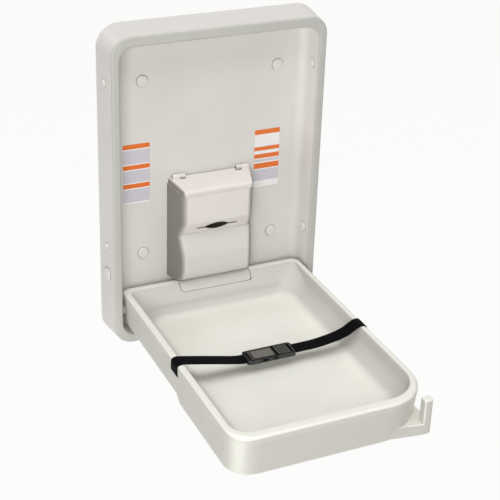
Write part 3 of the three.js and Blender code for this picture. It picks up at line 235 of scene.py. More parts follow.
# %% Metals
zinc, shader = new_finish("zinc_plated_steel", 0.36, metallic=1.0)
place = add_node(zinc, "ShaderNodeTexCoord").outputs["Object"]
spangle = add_node(zinc, "ShaderNodeTexVoronoi", {"Vector": place, "Scale": per_metre(7)})
ramp = add_node(zinc, "ShaderNodeMix", {"Factor": spangle.outputs["Color"], "A": tint("#B4B7BB"),
                                        "B": tint("#C6C8CB")}, data_type="RGBA")
feed(zinc, ramp.outputs["Result"], shader.inputs["Base Color"])
dull = add_node(zinc, "ShaderNodeMapRange", {"Value": spangle.outputs["Distance"], "To Min": 0.30, "To Max": 0.44})
feed(zinc, dull.outputs["Result"], shader.inputs["Roughness"])

chrome, shader = new_finish("hard_chrome_rod", 0.14, metallic=1.0)
place = add_node(chrome, "ShaderNodeTexCoord").outputs["Object"]
lines = add_node(chrome, "ShaderNodeMapping", {"Vector": place, "Scale": (1.0, 0.02, 1.0)})
drawn = add_node(chrome, "ShaderNodeTexNoise", {"Vector": lines.outputs["Vector"], "Scale": per_metre(0.8)})
shade = add_node(chrome, "ShaderNodeMix", {"Factor": drawn.outputs["Fac"], "A": tint("#C9CCD0"),
                                           "B": tint("#DADCDF")}, data_type="RGBA")
feed(chrome, shade.outputs["Result"], shader.inputs["Base Color"])

black_paint, shader = new_finish("black_stove_enamel", 0.32)
place = add_node(black_paint, "ShaderNodeTexCoord").outputs["Object"]
peel = add_node(black_paint, "ShaderNodeTexNoise", {"Vector": place, "Scale": per_metre(2.5)})
shade = add_node(black_paint, "ShaderNodeMix", {"Factor": peel.outputs["Fac"], "A": tint("#191A1C"),
                                                "B": tint("#232427")}, data_type="RGBA")
feed(black_paint, shade.outputs["Result"], shader.inputs["Base Color"])
bump = add_node(black_paint, "ShaderNodeBump", {"Height": peel.outputs["Fac"], "Strength": 0.1, "Distance": 0.0004})
feed(black_paint, bump.outputs["Normal"], shader.inputs["Normal"])
print("steel, chrome and enamel made")


# %% [markdown]
# ## Buckle plastic and hinge nylon
# The buckle is moulded acetal, dark grey and rather glossy, with a faint spark-eroded grain. The
# bushes are the same kind of plastic, a little duller, so one function makes both.

# %% Dark plastics
def dark_plastic(name, pale, deep, roughness):
    finish, shader = new_finish(name, roughness, ior=1.48)
    place = add_node(finish, "ShaderNodeTexCoord").outputs["Object"]
    cloud = add_node(finish, "ShaderNodeTexNoise", {"Vector": place, "Scale": per_metre(14), "Detail": 3.0})
    colour = add_node(finish, "ShaderNodeMix", {"Factor": cloud.outputs["Fac"], "A": tint(pale), "B": tint(deep)},
                      data_type="RGBA")
    feed(finish, colour.outputs["Result"], shader.inputs["Base Color"])
    grain = add_node(finish, "ShaderNodeTexNoise", {"Vector": place, "Scale": per_metre(0.7), "Detail": 2.0})
    bump = add_node(finish, "ShaderNodeBump", {"Height": grain.outputs["Fac"], "Strength": 0.12, "Distance": 0.0003})
    feed(finish, bump.outputs["Normal"], shader.inputs["Normal"])
    return finish


buckle_plastic = dark_plastic("glossy_acetal_buckle", "#343432", "#282827", 0.24)
buckle_panel = dark_plastic("matt_acetal_panel", "#62625A", "#56564F", 0.42)
bush_nylon = dark_plastic("dark_nylon_bush", "#2C2C2F", "#232326", 0.45)
print("acetal and nylon made")

# %% [markdown]
# ## Strap webbing
# The strap is black polypropylene webbing: thick ribs run along it, and the weft crosses them in a
# herringbone. Its pattern must follow the strap round the rim, so it reads the strap's own UV map,
# where u is the length along it and v the width, both in metres. The weft is about 0.9 mm apart. It is
# drawn at 2.4 mm, so that it shows.

# %% Webbing
webbing, shader = new_finish("black_polypropylene_webbing", 0.62, ior=1.49)
shader.inputs["Specular IOR Level"].default_value = 0.03
shader.inputs["Sheen Weight"].default_value = 0.01
shader.inputs["Sheen Roughness"].default_value = 0.4
shader.inputs["Sheen Tint"].default_value = tint("#8A8A90")
uv = add_node(webbing, "ShaderNodeTexCoord").outputs["UV"]
ribs = add_node(webbing, "ShaderNodeTexWave", {"Vector": uv, "Scale": per_metre(3.2) * math.pi / 10 / 2,
                                               "Distortion": 0.4}, bands_direction="Y")
slanted = add_node(webbing, "ShaderNodeMapping", {"Vector": uv, "Rotation": (0, 0, math.radians(32))})
weft = add_node(webbing, "ShaderNodeTexWave", {"Vector": slanted.outputs["Vector"],
                                               "Scale": per_metre(2.4) * math.pi / 10 / 2, "Distortion": 0.6},
                bands_direction="X")
weave = add_node(webbing, "ShaderNodeMath", {0: ribs.outputs["Fac"], 1: weft.outputs["Fac"]}, operation="MULTIPLY")
yarn = add_node(webbing, "ShaderNodeMix", {"Factor": weave.outputs["Value"], "A": tint("#060608"),
                                           "B": tint("#101014")}, data_type="RGBA")
feed(webbing, yarn.outputs["Result"], shader.inputs["Base Color"])
bump = add_node(webbing, "ShaderNodeBump", {"Height": weave.outputs["Value"], "Strength": 0.5, "Distance": 0.0008})
feed(webbing, bump.outputs["Normal"], shader.inputs["Normal"])
print("webbing made")


# %% [markdown]
# ## Label vinyl and liner paper
# The labels are printed vinyl. They carry plain bands of orange and pale grey and nothing else. A
# ramp with constant steps, read along the height of the plate, gives the bands sharp edges. The
# liners are creped paper: a stack of folded sheets, so thin lines run across its sides.

# %% Labels and paper
LABEL_HEIGHT = 160
LEFT_LABEL_LOW, RIGHT_LABEL_LOW = 360, 350


def banded_vinyl(name, label_low, bands):
    finish, shader = new_finish(name, 0.34, ior=1.5)
    place = add_node(finish, "ShaderNodeTexCoord").outputs["Object"]
    height = add_node(finish, "ShaderNodeSeparateXYZ", {"Vector": place}).outputs["Z"]
    low, high = spot(0, 0, label_low).z, spot(0, 0, label_low + LABEL_HEIGHT).z
    share = add_node(finish, "ShaderNodeMapRange", {"Value": height, "From Min": low, "From Max": high})
    ramp = add_node(finish, "ShaderNodeValToRGB", {"Fac": share.outputs["Result"]})
    ramp.color_ramp.interpolation = "CONSTANT"
    while len(ramp.color_ramp.elements) < len(bands):
        ramp.color_ramp.elements.new(0.5)
    for element, (start, code) in zip(ramp.color_ramp.elements, bands):
        element.position = start / LABEL_HEIGHT
        element.color = tint(code)
    mottle = add_node(finish, "ShaderNodeTexNoise", {"Vector": place, "Scale": per_metre(6), "Detail": 3.0})
    faded = add_node(finish, "ShaderNodeMapRange", {"Value": mottle.outputs["Fac"], "To Min": 0.94, "To Max": 1.04})
    ink = add_node(finish, "ShaderNodeMix", {"Factor": 1.0, "A": ramp.outputs["Color"], "B": faded.outputs["Result"]},
                   data_type="RGBA", blend_type="MULTIPLY")
    feed(finish, ink.outputs["Result"], shader.inputs["Base Color"])
    bump = add_node(finish, "ShaderNodeBump", {"Height": mottle.outputs["Fac"], "Strength": 0.06, "Distance": 0.0003})
    feed(finish, bump.outputs["Normal"], shader.inputs["Normal"])
    return finish


WHITE, GREY, ORANGE = "#EDEBEA", "#CBC8CF", "#E4701F"
left_vinyl = banded_vinyl("printed_vinyl_left", LEFT_LABEL_LOW, [
    (0, WHITE), (4, GREY), (39, WHITE), (42, ORANGE), (54, WHITE), (57, GREY),
    (90, WHITE), (93, ORANGE), (105, WHITE), (108, GREY), (145, WHITE), (148, ORANGE),
])
right_vinyl = banded_vinyl("printed_vinyl_right", RIGHT_LABEL_LOW, [
    (0, WHITE), (18, GREY), (49, WHITE), (52, ORANGE), (67, WHITE), (71, GREY),
    (78, WHITE), (81, ORANGE), (93, WHITE), (102, ORANGE), (113, WHITE), (147, ORANGE),
])

paper, shader = new_finish("creped_paper_liners", 0.9, ior=1.45)
place = add_node(paper, "ShaderNodeTexCoord").outputs["Object"]
folds = add_node(paper, "ShaderNodeTexWave", {"Vector": place, "Scale": per_metre(2.5) * math.pi / 10 / 2,
                                              "Distortion": 1.2}, bands_direction="Z")
shade = add_node(paper, "ShaderNodeMix", {"Factor": folds.outputs["Fac"], "A": tint("#D9D6CE"),
                                          "B": tint("#F1EFE8")}, data_type="RGBA")
feed(paper, shade.outputs["Result"], shader.inputs["Base Color"])
bump = add_node(paper, "ShaderNodeBump", {"Height": folds.outputs["Fac"], "Strength": 0.5, "Distance": 0.0008})
feed(paper, bump.outputs["Normal"], shader.inputs["Normal"])
print(len(bpy.data.materials), "materials")

# %% [markdown]
# ## Working in edit mode from a script
# An operator acts on whatever is selected, so each step below starts with a clear selection. `pick`
# is the script's lasso: it selects corners, edges or faces by a test on their place. `dress` ends the
# work on a piece: it smooths the shading, gives the finish, and fastens the piece to a moving body.

# %% Helpers for modelling
def start_piece(name):
    if bpy.context.mode != "OBJECT":
        bpy.ops.object.mode_set(mode="OBJECT")
    bpy.ops.object.select_all(action="DESELECT")
    bpy.ops.mesh.primitive_plane_add(size=0.01)
    piece = bpy.context.object
    piece.name = piece.data.name = name
    bpy.ops.object.mode_set(mode="EDIT")
    bpy.ops.mesh.select_all(action="SELECT")
    bpy.ops.mesh.delete(type="VERT")
    return piece


def pick(what, test):
    bpy.ops.mesh.select_mode(type={"verts": "VERT", "edges": "EDGE", "faces": "FACE"}[what])
    bpy.ops.mesh.select_all(action="DESELECT")
    data = bpy.context.object.data
    shape = bmesh.from_edit_mesh(data)
    for item in getattr(shape, what):
        corners = [item] if what == "verts" else item.verts
        middle = sum((v.co for v in corners), Vector()) / len(corners) * 1000
        item.select_set(bool(test(item, middle.x, -middle.y, middle.z + CASE_HEIGHT / 2)))
    bmesh.update_edit_mesh(data)


def only(piece):
    if bpy.context.mode != "OBJECT":
        bpy.ops.object.mode_set(mode="OBJECT")
    bpy.ops.object.select_all(action="DESELECT")
    piece.select_set(True)
    bpy.context.view_layer.objects.active = piece


def modify(piece, kind, **settings):
    only(piece)
    bpy.ops.object.modifier_add(type=kind)
    modifier = piece.modifiers[-1]
    for name, value in settings.items():
        setattr(modifier, name, value)
    bpy.ops.object.modifier_apply(modifier=modifier.name)


def combine(piece, tool, how):
    only(tool)
    modify(piece, "BOOLEAN", operation=how, object=tool, solver="EXACT")
    bpy.data.objects.remove(tool)


def face_outwards():
    bpy.ops.mesh.select_all(action="SELECT")
    bpy.ops.mesh.remove_doubles(threshold=1e-6)
    bpy.ops.mesh.normals_make_consistent(inside=False)


def dress(piece, body, finishes, stands_for, smooth=32):
    only(piece)
    bpy.ops.object.shade_smooth_by_angle(angle=math.radians(smooth))
    modify(piece, "WEIGHTED_NORMAL", keep_sharp=True)
    for finish in finishes[len(piece.data.materials):]:
        piece.data.materials.append(finish)
    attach(piece, body)
    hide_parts(*stands_for)
    print(piece.name, len(piece.data.polygons), "faces,", *(f"{1000 * d:.0f}" for d in piece.dimensions), "mm")


print("helpers ready")

# %% [markdown]
# ## Rounded outlines and stepped insets
# Most mouldings here are a rounded outline carried up or in by small steps. By hand that is a plane,
# a vertex bevel for its corners, and then Inset Faces again and again, each time with a little depth.
# Inset keeps the distance even all round, so a band stays as wide at the corners as along the sides,
# which scaling wouldn't do.

# %% Outlines and insets
CORNER_STEPS = 12


def add_outline(half, near, far, near_round, far_round, level, upright, near_left=None):
    middle = (near + far) / 2
    centre = spot(0, level, middle) if upright else spot(0, middle, level)
    turn = (math.pi / 2, 0, 0) if upright else (0, 0, 0)
    bpy.ops.mesh.select_mode(type="VERT")
    bpy.ops.mesh.primitive_plane_add(size=1, location=centre, rotation=turn)
    length = abs(far - near) / 1000
    size = (half / 500, 1, length) if upright else (half / 500, length, 1)
    bpy.ops.transform.resize(value=size, center_override=centre)
    data = bpy.context.object.data
    axis = 2 if upright else 1
    for radius, side, end in ((near_left or near_round, -1, -1), (near_round, 1, -1), (far_round, -1, 1), (far_round, 1, 1)):
        shape = bmesh.from_edit_mesh(data)
        fresh = [v for v in shape.verts if v.select]
        corner = max(fresh, key=lambda v: v.co.x * side + v.co[axis] * end)
        for v in fresh:
            v.select_set(v == corner)
        bmesh.update_edit_mesh(data)
        bpy.ops.mesh.bevel(offset=radius / 1000, affect="VERTICES", segments=CORNER_STEPS)
        bpy.ops.mesh.select_linked()


def step_in(inward, outward):
    bpy.ops.mesh.inset(thickness=inward / 1000, depth=outward / 1000, use_boundary=True, use_even_offset=True)


def quarter(steps):
    return [math.pi / 2 * k / steps for k in range(steps + 1)]


def turn_in(radius, sign, from_flat, steps=6):
    along, across = 0, 0
    for angle in quarter(steps)[1:]:
        a = radius * (math.sin(angle) if from_flat else 1 - math.cos(angle))
        b = radius * ((1 - math.cos(angle)) if from_flat else math.sin(angle))
        step_in(a - along, sign * (b - across))
        along, across = a, b


def open_top():
    bpy.ops.mesh.delete(type="ONLY_FACE")


print("a corner turns in", CORNER_STEPS, "steps")

# %% [markdown]
# ## The wall case
# The case is one hollow moulding: a leaning outer wall, a flat rim, and a deep recess with a large
# fillet round its back panel. It could be cut from a block with booleans, but then the fillets would
# need cleaning. Instead two outlines are stepped in, one for the outside and one for the recess, and
# Bridge Edge Loops closes the flat rim between them. Solidify then gives the wall its 4 mm.

# %% Wall case
case = start_piece("case_moulding")
add_outline(289, -9, 829, 57, 57, 0, upright=True)
step_in(9, 81)
turn_in(5, 1, from_flat=False, steps=5)
open_top()
add_outline(264.5, 17, 798, 41, 41, 86, upright=True)
turn_in(5, -1, from_flat=True, steps=5)
step_in(3, -43)
turn_in(22, -1, from_flat=False, steps=9)
pick("edges", lambda edge, x, out, rise: edge.is_boundary and out > 80)
bpy.ops.mesh.bridge_edge_loops()
face_outwards()
pick("faces", lambda face, x, out, rise: out > 81.5)
case.data.materials.append(case_plastic)
case.data.materials.append(rim_plastic)
case.active_material_index = 1
bpy.ops.object.material_slot_assign()
modify(case, "SOLIDIFY", thickness=0.004, offset=-1)
dress(case, "wall_unit", [case_plastic, rim_plastic], ["wall_shell"])

# %% [markdown]
# ## Round caps and plugs
# Fourteen low round buttons close the bolt holes and the hinge bores. One is turned on a lathe, as it
# were: half its outline is drawn by extruding a corner from point to point, and Spin sweeps it round.
# The others are copies with their own meshes, laid on the panel, the recess wall or the outer wall. A thin dark ring
# lies under each. It is painted shade, and draws the line that sets the cap off from the wall.

# %% Caps
def trace(points):
    bpy.ops.mesh.select_mode(type="VERT")
    bpy.ops.mesh.select_all(action="DESELECT")
    bpy.ops.mesh.primitive_plane_add(size=0.01, location=points[0])
    bpy.ops.mesh.merge(type="CENTER")
    data = bpy.context.object.data
    shape = bmesh.from_edit_mesh(data)
    for v in shape.verts:
        v.select_set((v.co - points[0]).length < 1e-7 and not v.link_edges)
    bmesh.update_edit_mesh(data)
    for before, after in zip(points, points[1:]):
        bpy.ops.mesh.extrude_region_move(TRANSFORM_OT_translate={"value": after - before})
    bpy.ops.mesh.select_linked()


cap_master = start_piece("cap_master")
# The ring at the foot of the outline is a painted shade line round the cap.
shade_ring_profile = [(0, 0), (1.09, 0), (1.09, 0.6), (1, 0.7)]
half_outline = shade_ring_profile + [(1, 3.2), (0.985, 4), (0.94, 4.7), (0.86, 5.1), (0.7, 5.3), (0.4, 5.5), (0, 5.5)]
trace([Vector((r * 0.01, 0, h / 1000)) for r, h in half_outline])
bpy.ops.mesh.spin(steps=36, angle=2 * math.pi, center=(0, 0, 0), axis=(0, 0, 1))
face_outwards()
# The low ring takes the dark finish: painted shade.
pick("faces", lambda face, x, out, rise: face.calc_center_median().z < 0.0008)
cap_master.data.materials.append(cap_plastic)
cap_master.data.materials.append(grey_spacer_and_painted_shade)
cap_master.active_material_index = 1
bpy.ops.object.material_slot_assign()
bpy.ops.object.mode_set(mode="OBJECT")


def lay_cap(name, place, facing, radius, node):
    only(cap_master)
    bpy.ops.object.duplicate()
    cap = bpy.context.object
    cap.name = cap.data.name = name
    cap.scale = (radius / 10, radius / 10, 1)
    cap.rotation_euler = facing.to_track_quat("Z", "Y").to_euler()
    cap.location = place
    bpy.ops.object.transform_apply(location=True, rotation=True, scale=True)
    dress(cap, "wall_unit", [cap_plastic, grey_spacer_and_painted_shade], [node])


for side, hand in (("right", 1), ("left", -1)):
    for level, bolt, inner, plug in (("low", 217, 232, 268), ("high", 682, 690, 700)):
        inward = Vector((-43 * hand, -3, 0))
        outward = Vector((81 * hand, -9, 0))
        lay_cap(f"button_bolt_{side}_{level}", spot(180 * hand, 16, bolt), Vector((0, -1, 0)), 14.2,
                f"bolt_cap_{side}_{level}")
        lay_cap(f"button_inner_{side}_{level}", spot(257.75 * hand, 56, inner), inward, 12,
                f"inner_cap_{side}_{level}")
        lay_cap(f"button_side_{side}_{level}", spot(284.2 * hand, 43, plug), outward, 9,
                f"side_plug_{side}_{level}")
    lay_cap(f"button_large_{side}", spot(284.2 * hand, 43, 189), outward, 16.5, f"side_plug_large_{side}")
bpy.data.objects.remove(cap_master)

# %% [markdown]
# ## The tray's upper moulding
# The tray has a rolled rim, a flat lip and a basin whose walls sweep down to the floor in a quarter
# ellipse. Its rear edge is a big quarter round, because it swings past the back panel. Here rings of
# edges are extruded and each is then resized to its place, since the rear steps in faster than the
# sides. At the rear a sloping ledge lies between the lip and the basin, with tight corners above and
# wide ones below. So the lip and the basin each get an outline of their own, and bridges join them.

# %% Tray top
RIM, SEAM, TRAY_HALF, TRAY_REAR, TRAY_FRONT = 137, 125, 250, 30.35, 760
REAR_ROUND = 22
LIP_HALF, LIP_FRONT, LIP_REAR = 236, 736, 58


def rear_at(rise, skin=0):
    above = max(0, rise - (RIM - REAR_ROUND))
    return TRAY_REAR + REAR_ROUND - math.sqrt(max(0, (REAR_ROUND - skin) ** 2 - above ** 2))


def grow_ring(half, front, rear, rise):
    bpy.ops.mesh.extrude_edges_move()
    shape = bmesh.from_edit_mesh(bpy.context.object.data)
    ring = [v.co for v in shape.verts if v.select]
    low = Vector([min(c[i] for c in ring) for i in range(3)])
    high = Vector([max(c[i] for c in ring) for i in range(3)])
    centre = (low + high) / 2
    size = (2 * half / 1000 / (high.x - low.x), (front - rear) / 1000 / (high.y - low.y), 1)
    bpy.ops.transform.resize(value=size, center_override=centre)
    bpy.ops.transform.translate(value=spot(0, (front + rear) / 2, rise) - centre)


tray_top = start_piece("tray_basin")
add_outline(TRAY_HALF, TRAY_FRONT, rear_at(SEAM), 112, 22, SEAM, upright=False, near_left=62)
open_top()
pick("edges", lambda edge, x, out, rise: True)
for angle in quarter(8):
    inset, rise = 8 * (1 - math.cos(angle)), RIM - 8 * (1 - math.sin(angle))
    grow_ring(TRAY_HALF - inset, TRAY_FRONT - inset, rear_at(rise), rise)
add_outline(LIP_HALF, LIP_FRONT, LIP_REAR, 88, 18, RIM, upright=False, near_left=45)
open_top()
pick("edges", lambda edge, x, out, rise: not edge.link_faces)
for angle in quarter(4)[1:]:
    inset, drop = 4 * math.sin(angle), 4 * (1 - math.cos(angle))
    grow_ring(LIP_HALF - inset, LIP_FRONT - inset, LIP_REAR + 4.15 * math.sqrt(drop), RIM - drop)


def basin_ring(rise, rear):
    sunk = (RIM - 4 - rise) / 60
    inset = 4 + 70 * (1 - math.sqrt(max(0, 1 - sunk * sunk)))
    return LIP_HALF - inset, LIP_FRONT - inset, rear, rise


half, front, rear, rise = basin_ring(113, 90)
add_outline(half, front, rear, 84, 60, rise, upright=False, near_left=41)
open_top()
pick("edges", lambda edge, x, out, rise: not edge.link_faces)
for rise, rear in ((110.2, 93.2), (107, 96.3), (103.2, 98.8), (99, 100.3)):
    grow_ring(*basin_ring(rise, rear))
for angle in quarter(14)[1:]:
    grow_ring(*basin_ring(99 - 26 * math.sin(angle), 100.3 + 45 * (1 - math.cos(angle))))
bpy.ops.mesh.edge_face_add()
for low, high in ((RIM - 0.01, RIM + 0.01), (112, RIM - 3.9)):
    pick("edges", lambda edge, x, out, rise: edge.is_boundary and low < rise < high and abs(rise - SEAM) > 1)
    bpy.ops.mesh.bridge_edge_loops()
face_outwards()
middle_out = (LIP_FRONT + LIP_REAR) / 2
pick("faces", lambda face, x, out, rise: rise < RIM - 0.05
     and face.normal.x * x - face.normal.y * (out - middle_out) < 0.01)
tray_top.data.materials.append(tray_plastic)
tray_top.data.materials.append(basin_plastic)
tray_top.active_material_index = 1
bpy.ops.object.material_slot_assign()
modify(tray_top, "SOLIDIFY", thickness=0.0035, offset=-1)
print("tray top", len(tray_top.data.polygons), "faces")

# %% [markdown]
# ## The rear cover
# A small cover in the rear ledge gives access to the spring. On the real tray only its thin outline
# shows. A box cuts it out of the tray top, and a slightly smaller box keeps the matching piece, so the
# two share their curve exactly and leave an even gap.

# %% Rear cover
def cover_block(name, gap):
    block = start_piece(name)
    middle = spot(0, 70, 130)
    bpy.ops.mesh.primitive_cube_add(size=1, location=middle)
    bpy.ops.transform.resize(value=(0.2 - 2 * gap / 1000, 0.03 - 2 * gap / 1000, 0.05), center_override=middle)
    pick("edges", lambda edge, x, out, rise: abs(x) > 90 and out > 80 and abs(rise - 130) < 1)
    bpy.ops.mesh.bevel(offset=0.008, segments=5)
    bpy.ops.object.mode_set(mode="OBJECT")
    return block


only(tray_top)
bpy.ops.object.duplicate()
rear_cover = bpy.context.object
rear_cover.name = rear_cover.data.name = "rear_access_cover"
combine(tray_top, cover_block("cover_gap", 0), "DIFFERENCE")
combine(rear_cover, cover_block("cover_fit", 1.8), "INTERSECT")
dress(tray_top, "tray", [tray_plastic, basin_plastic], ["tray_bed"])
dress(rear_cover, "tray", [tray_plastic, basin_plastic], ["rear_cover"])

# %% [markdown]
# ## The tray's lower moulding
# Under the seam a shadow groove runs round the tray, then the walls lean in to a rounded foot, and
# the front half hangs deeper than the rear. Each half is a closed block of rings. Booleans join them
# and then take the same blocks, 4 mm smaller, out of the middle. That is how a hollow pan with a step
# comes out clean, where Solidify would fold over itself at the step.

# %% Tray underside
PAN_LOW, PAN_FRONT_LOW, STEP_OUT, FOOT = 41, 22, 412, 16


def pan_ring(rise, inset, rear=0):
    leaning = (SEAM - rise) / (SEAM - PAN_FRONT_LOW)
    half = TRAY_HALF - 5 * leaning - inset
    return half, TRAY_FRONT - 14 * leaning - inset, rear_at(rise) + max(rear, inset), rise


def pan_foot(low, inset, rear):
    rounding = FOOT - inset
    falls = [(rounding * (1 - math.sin(a)), rounding * (1 - math.cos(a))) for a in quarter(6)]
    return [pan_ring(low + fall, inset + inward, rear - fall) for fall, inward in falls]


def pan_block(name, rings):
    block = start_piece(name)
    half, front, rear, rise = rings[0]
    add_outline(half, front, rear, 112, 22, rise, upright=False, near_left=62)
    pick("edges", lambda edge, x, out, rise: True)
    for ring in rings[1:]:
        grow_ring(*ring)
    bpy.ops.mesh.edge_face_add()
    face_outwards()
    bpy.ops.object.mode_set(mode="OBJECT")
    return block


def rear_pan(inset):
    groove = [pan_ring(SEAM - 0.3 + inset, 0.7 + inset), pan_ring(SEAM - 1.2, 0.7 + inset)]
    return groove + [pan_ring(SEAM - 1.9, inset)] + pan_foot(PAN_LOW + inset, inset, 0)


def front_pan(inset):
    behind = STEP_OUT - TRAY_REAR + inset
    first = pan_ring(PAN_LOW + FOOT + inset, inset + 0.3, behind - FOOT)
    return [first] + pan_foot(PAN_FRONT_LOW + inset, inset, behind + FOOT)


tray_pan = pan_block("tray_underside", rear_pan(0))
combine(tray_pan, pan_block("deep_front", front_pan(0)), "UNION")
print("pan", len(tray_pan.data.polygons), "faces")

# %% [markdown]
# ## The bag hook
# At the front right the moulding is squared out into a base, and an upright finger stands on it, clear
# of the round corner, so that a bag's handle drops in behind. Both are plans pulled up. The corner that
# a hip could meet gets a wide bevel, the other edges a narrow one.

# %% Bag hook
def pull_up(name, plan, low, high):
    block = start_piece(name)
    trace([spot(x, out, low) for x, out in plan])
    bpy.ops.mesh.edge_face_add()
    bpy.ops.mesh.extrude_region_move(TRANSFORM_OT_translate={"value": (0, 0, (high - low) / 1000)})
    face_outwards()
    return block


def round_corner(radius):
    pick("edges", lambda edge, x, out, rise: x > 248.4 and out > 757.9)
    bpy.ops.mesh.bevel(offset=radius / 1000, segments=8)


finger = pull_up("hook_finger", [(224.5, 734.5), (248.5, 734.5), (248.5, 758), (224.5, 758)], 40, 124)
round_corner(10)
pick("edges", lambda edge, x, out, rise: rise > 123.9 or rise > 45 and (x < 224.6 or out < 734.6))
bpy.ops.mesh.bevel(offset=0.0055, segments=6)
bpy.ops.object.mode_set(mode="OBJECT")
base_plan = [(138, 648), (245, 648), (248.5, 732), (248.5, 758), (224, 758), (138, 746)]
base = pull_up("hook_base", base_plan, 30, 60)
round_corner(10)
pick("edges", lambda edge, x, out, rise: rise > 59.9)
bpy.ops.mesh.bevel(offset=0.002, segments=3)
pick("edges", lambda edge, x, out, rise: rise < 30.1)
bpy.ops.mesh.bevel(offset=0.005, segments=4)
bpy.ops.object.mode_set(mode="OBJECT")
combine(base, finger, "UNION")
combine(tray_pan, base, "UNION")
print("pan with hook", len(tray_pan.data.polygons), "faces")

# %% [markdown]
# ## Hollowing the pan
# The last cuts make the pan a shell: its two hollows, the slots that the strap comes out of, the slot
# for the spring's bracket at the rear, and the bores of the hinge.

# %% Hollow and slots
def box_tool(name, xs, outs, rises):
    tool = start_piece(name)
    middle = spot(sum(xs) / 2, sum(outs) / 2, sum(rises) / 2)
    bpy.ops.mesh.primitive_cube_add(size=1, location=middle)
    size = [abs(b - a) / 1000 for a, b in (xs, outs, rises)]
    bpy.ops.transform.resize(value=size, center_override=middle)
    bpy.ops.object.mode_set(mode="OBJECT")
    return tool


def bore_tool(name, ends, out, rise, radius):
    tool = start_piece(name)
    middle, length = spot(sum(ends) / 2, out, rise), abs(ends[1] - ends[0]) / 1000
    bpy.ops.mesh.primitive_cylinder_add(vertices=32, radius=radius / 1000, depth=length, location=middle,
                                        rotation=(0, math.pi / 2, 0))
    bpy.ops.object.mode_set(mode="OBJECT")
    return tool


combine(tray_pan, pan_block("rear_hollow", rear_pan(4)), "DIFFERENCE")
combine(tray_pan, pan_block("front_hollow", front_pan(4)), "DIFFERENCE")
combine(tray_pan, box_tool("bracket_slot", (-16, 16), (26, 114), (37, 93)), "DIFFERENCE")
for hand in (1, -1):
    combine(tray_pan, box_tool("strap_slot", (242 * hand, 254 * hand), (393.2, 434.8), (105.2, 109)), "DIFFERENCE")
    combine(tray_pan, bore_tool("hinge_bore", (234 * hand, 254 * hand), 68, 93, 9.6), "DIFFERENCE")
dress(tray_pan, "tray", [tray_plastic], ["tray_shell"])

# %% [markdown]
# ## The liner dispenser
# A box for paper liners sits on the back panel. Seen from the side it has a slanted lower face with the slot, an
# upright face and a sloping top. So its side view is traced corner by corner, pulled across, and narrowed towards the
# front. Bevels soften its edges before Solidify makes it hollow, and Solidify gives the inner faces a dark finish,
# which is painted shade inside the box.

# %% Dispenser body
def half_at(out):
    return 115 - 20 / 66 * (out - 16)


def pull_across(name, profile):
    piece = start_piece(name)
    trace([spot(-100, out, rise) for out, rise in profile])
    bpy.ops.mesh.edge_face_add()
    bpy.ops.mesh.extrude_region_move(TRANSFORM_OT_translate={"value": (0.2, 0, 0)})
    for level in sorted({out for out, rise in profile}):
        pick("verts", lambda vert, x, out, rise: abs(out - level) < 1e-3)
        bpy.ops.transform.resize(value=(half_at(level) / 100, 1, 1), center_override=spot(0, level, 0))
    face_outwards()
    return piece


dispenser = pull_across("dispenser_box", [(16.3, 249.2), (62, 272), (82, 308), (82, 385.7), (16.3, 403.7)])
pick("faces", lambda face, x, out, rise: rise > 390 and abs(x) < 50)
bpy.ops.mesh.delete(type="FACE")
pick("edges", lambda edge, x, out, rise: abs(x) > 90 and out > 60 and not edge.is_boundary)
bpy.ops.mesh.bevel(offset=0.016, segments=7)
pick("edges", lambda edge, x, out, rise: not edge.is_boundary and abs(edge.verts[0].co.z - edge.verts[1].co.z) < 1e-4
     and out > 60 and rise < 325)
bpy.ops.mesh.bevel(offset=0.004, segments=4)
dispenser.data.materials.append(box_plastic)
dispenser.data.materials.append(box_painted_shade_inside)
# The inner faces take the second, dark finish: painted shade inside the box.
modify(dispenser, "SOLIDIFY", thickness=0.003, offset=-1, material_offset=1)

# %% [markdown]
# The slot is a long slit that opens into an eye. Its outline follows two cosine bumps, is pulled through the slanted
# face, and a boolean cuts it. The cut walls take the box's dark inside finish, which is painted shade in the slot.

# %% Dispenser slot
def slit_height(x):
    eye = 13.5 * math.cos(math.pi * x / 70) ** 0.8 if abs(x) < 35 else 0
    return max(2.4, eye)


slant = Vector((0, -20, 36)).normalized()
through = Vector((0, -36, -20)).normalized()
middle = spot(0, 72, 290)
across = [-56 + 3.5 * k for k in range(33)]
edge_line = [(x, slit_height(x)) for x in across] + [(x, -slit_height(x)) for x in reversed(across)]
slit = start_piece("slit")
trace([middle + Vector((x / 1000, 0, 0)) + slant * (h / 1000) - through * 0.012 for x, h in edge_line])
bpy.ops.mesh.edge_face_add()
bpy.ops.mesh.extrude_region_move(TRANSFORM_OT_translate={"value": through * 0.024})
face_outwards()
# The slit's cut walls take the dark inside finish too: painted shade.
slit.data.materials.append(box_plastic)
slit.data.materials.append(box_painted_shade_inside)
slit.active_material_index = 1
bpy.ops.object.material_slot_assign()
bpy.ops.object.mode_set(mode="OBJECT")
combine(dispenser, slit, "DIFFERENCE")


def hinge_tab(name, xs, profile):
    tab = start_piece(name)
    trace([spot(xs[0], out, rise) for out, rise in profile])
    bpy.ops.mesh.edge_face_add()
    bpy.ops.mesh.extrude_region_move(TRANSFORM_OT_translate={"value": ((xs[1] - xs[0]) / 1000, 0, 0)})
    face_outwards()
    bpy.ops.object.mode_set(mode="OBJECT")
    return tab


def knuckle(low, rear, front):
    arc = [(24 + 5 * math.cos(a), 421 + 5 * math.sin(a)) for a in (math.pi * k / 10 for k in range(11))]
    return [(rear, low), (front, low), (front, 421)] + arc[1:-1] + [(rear, 421)]


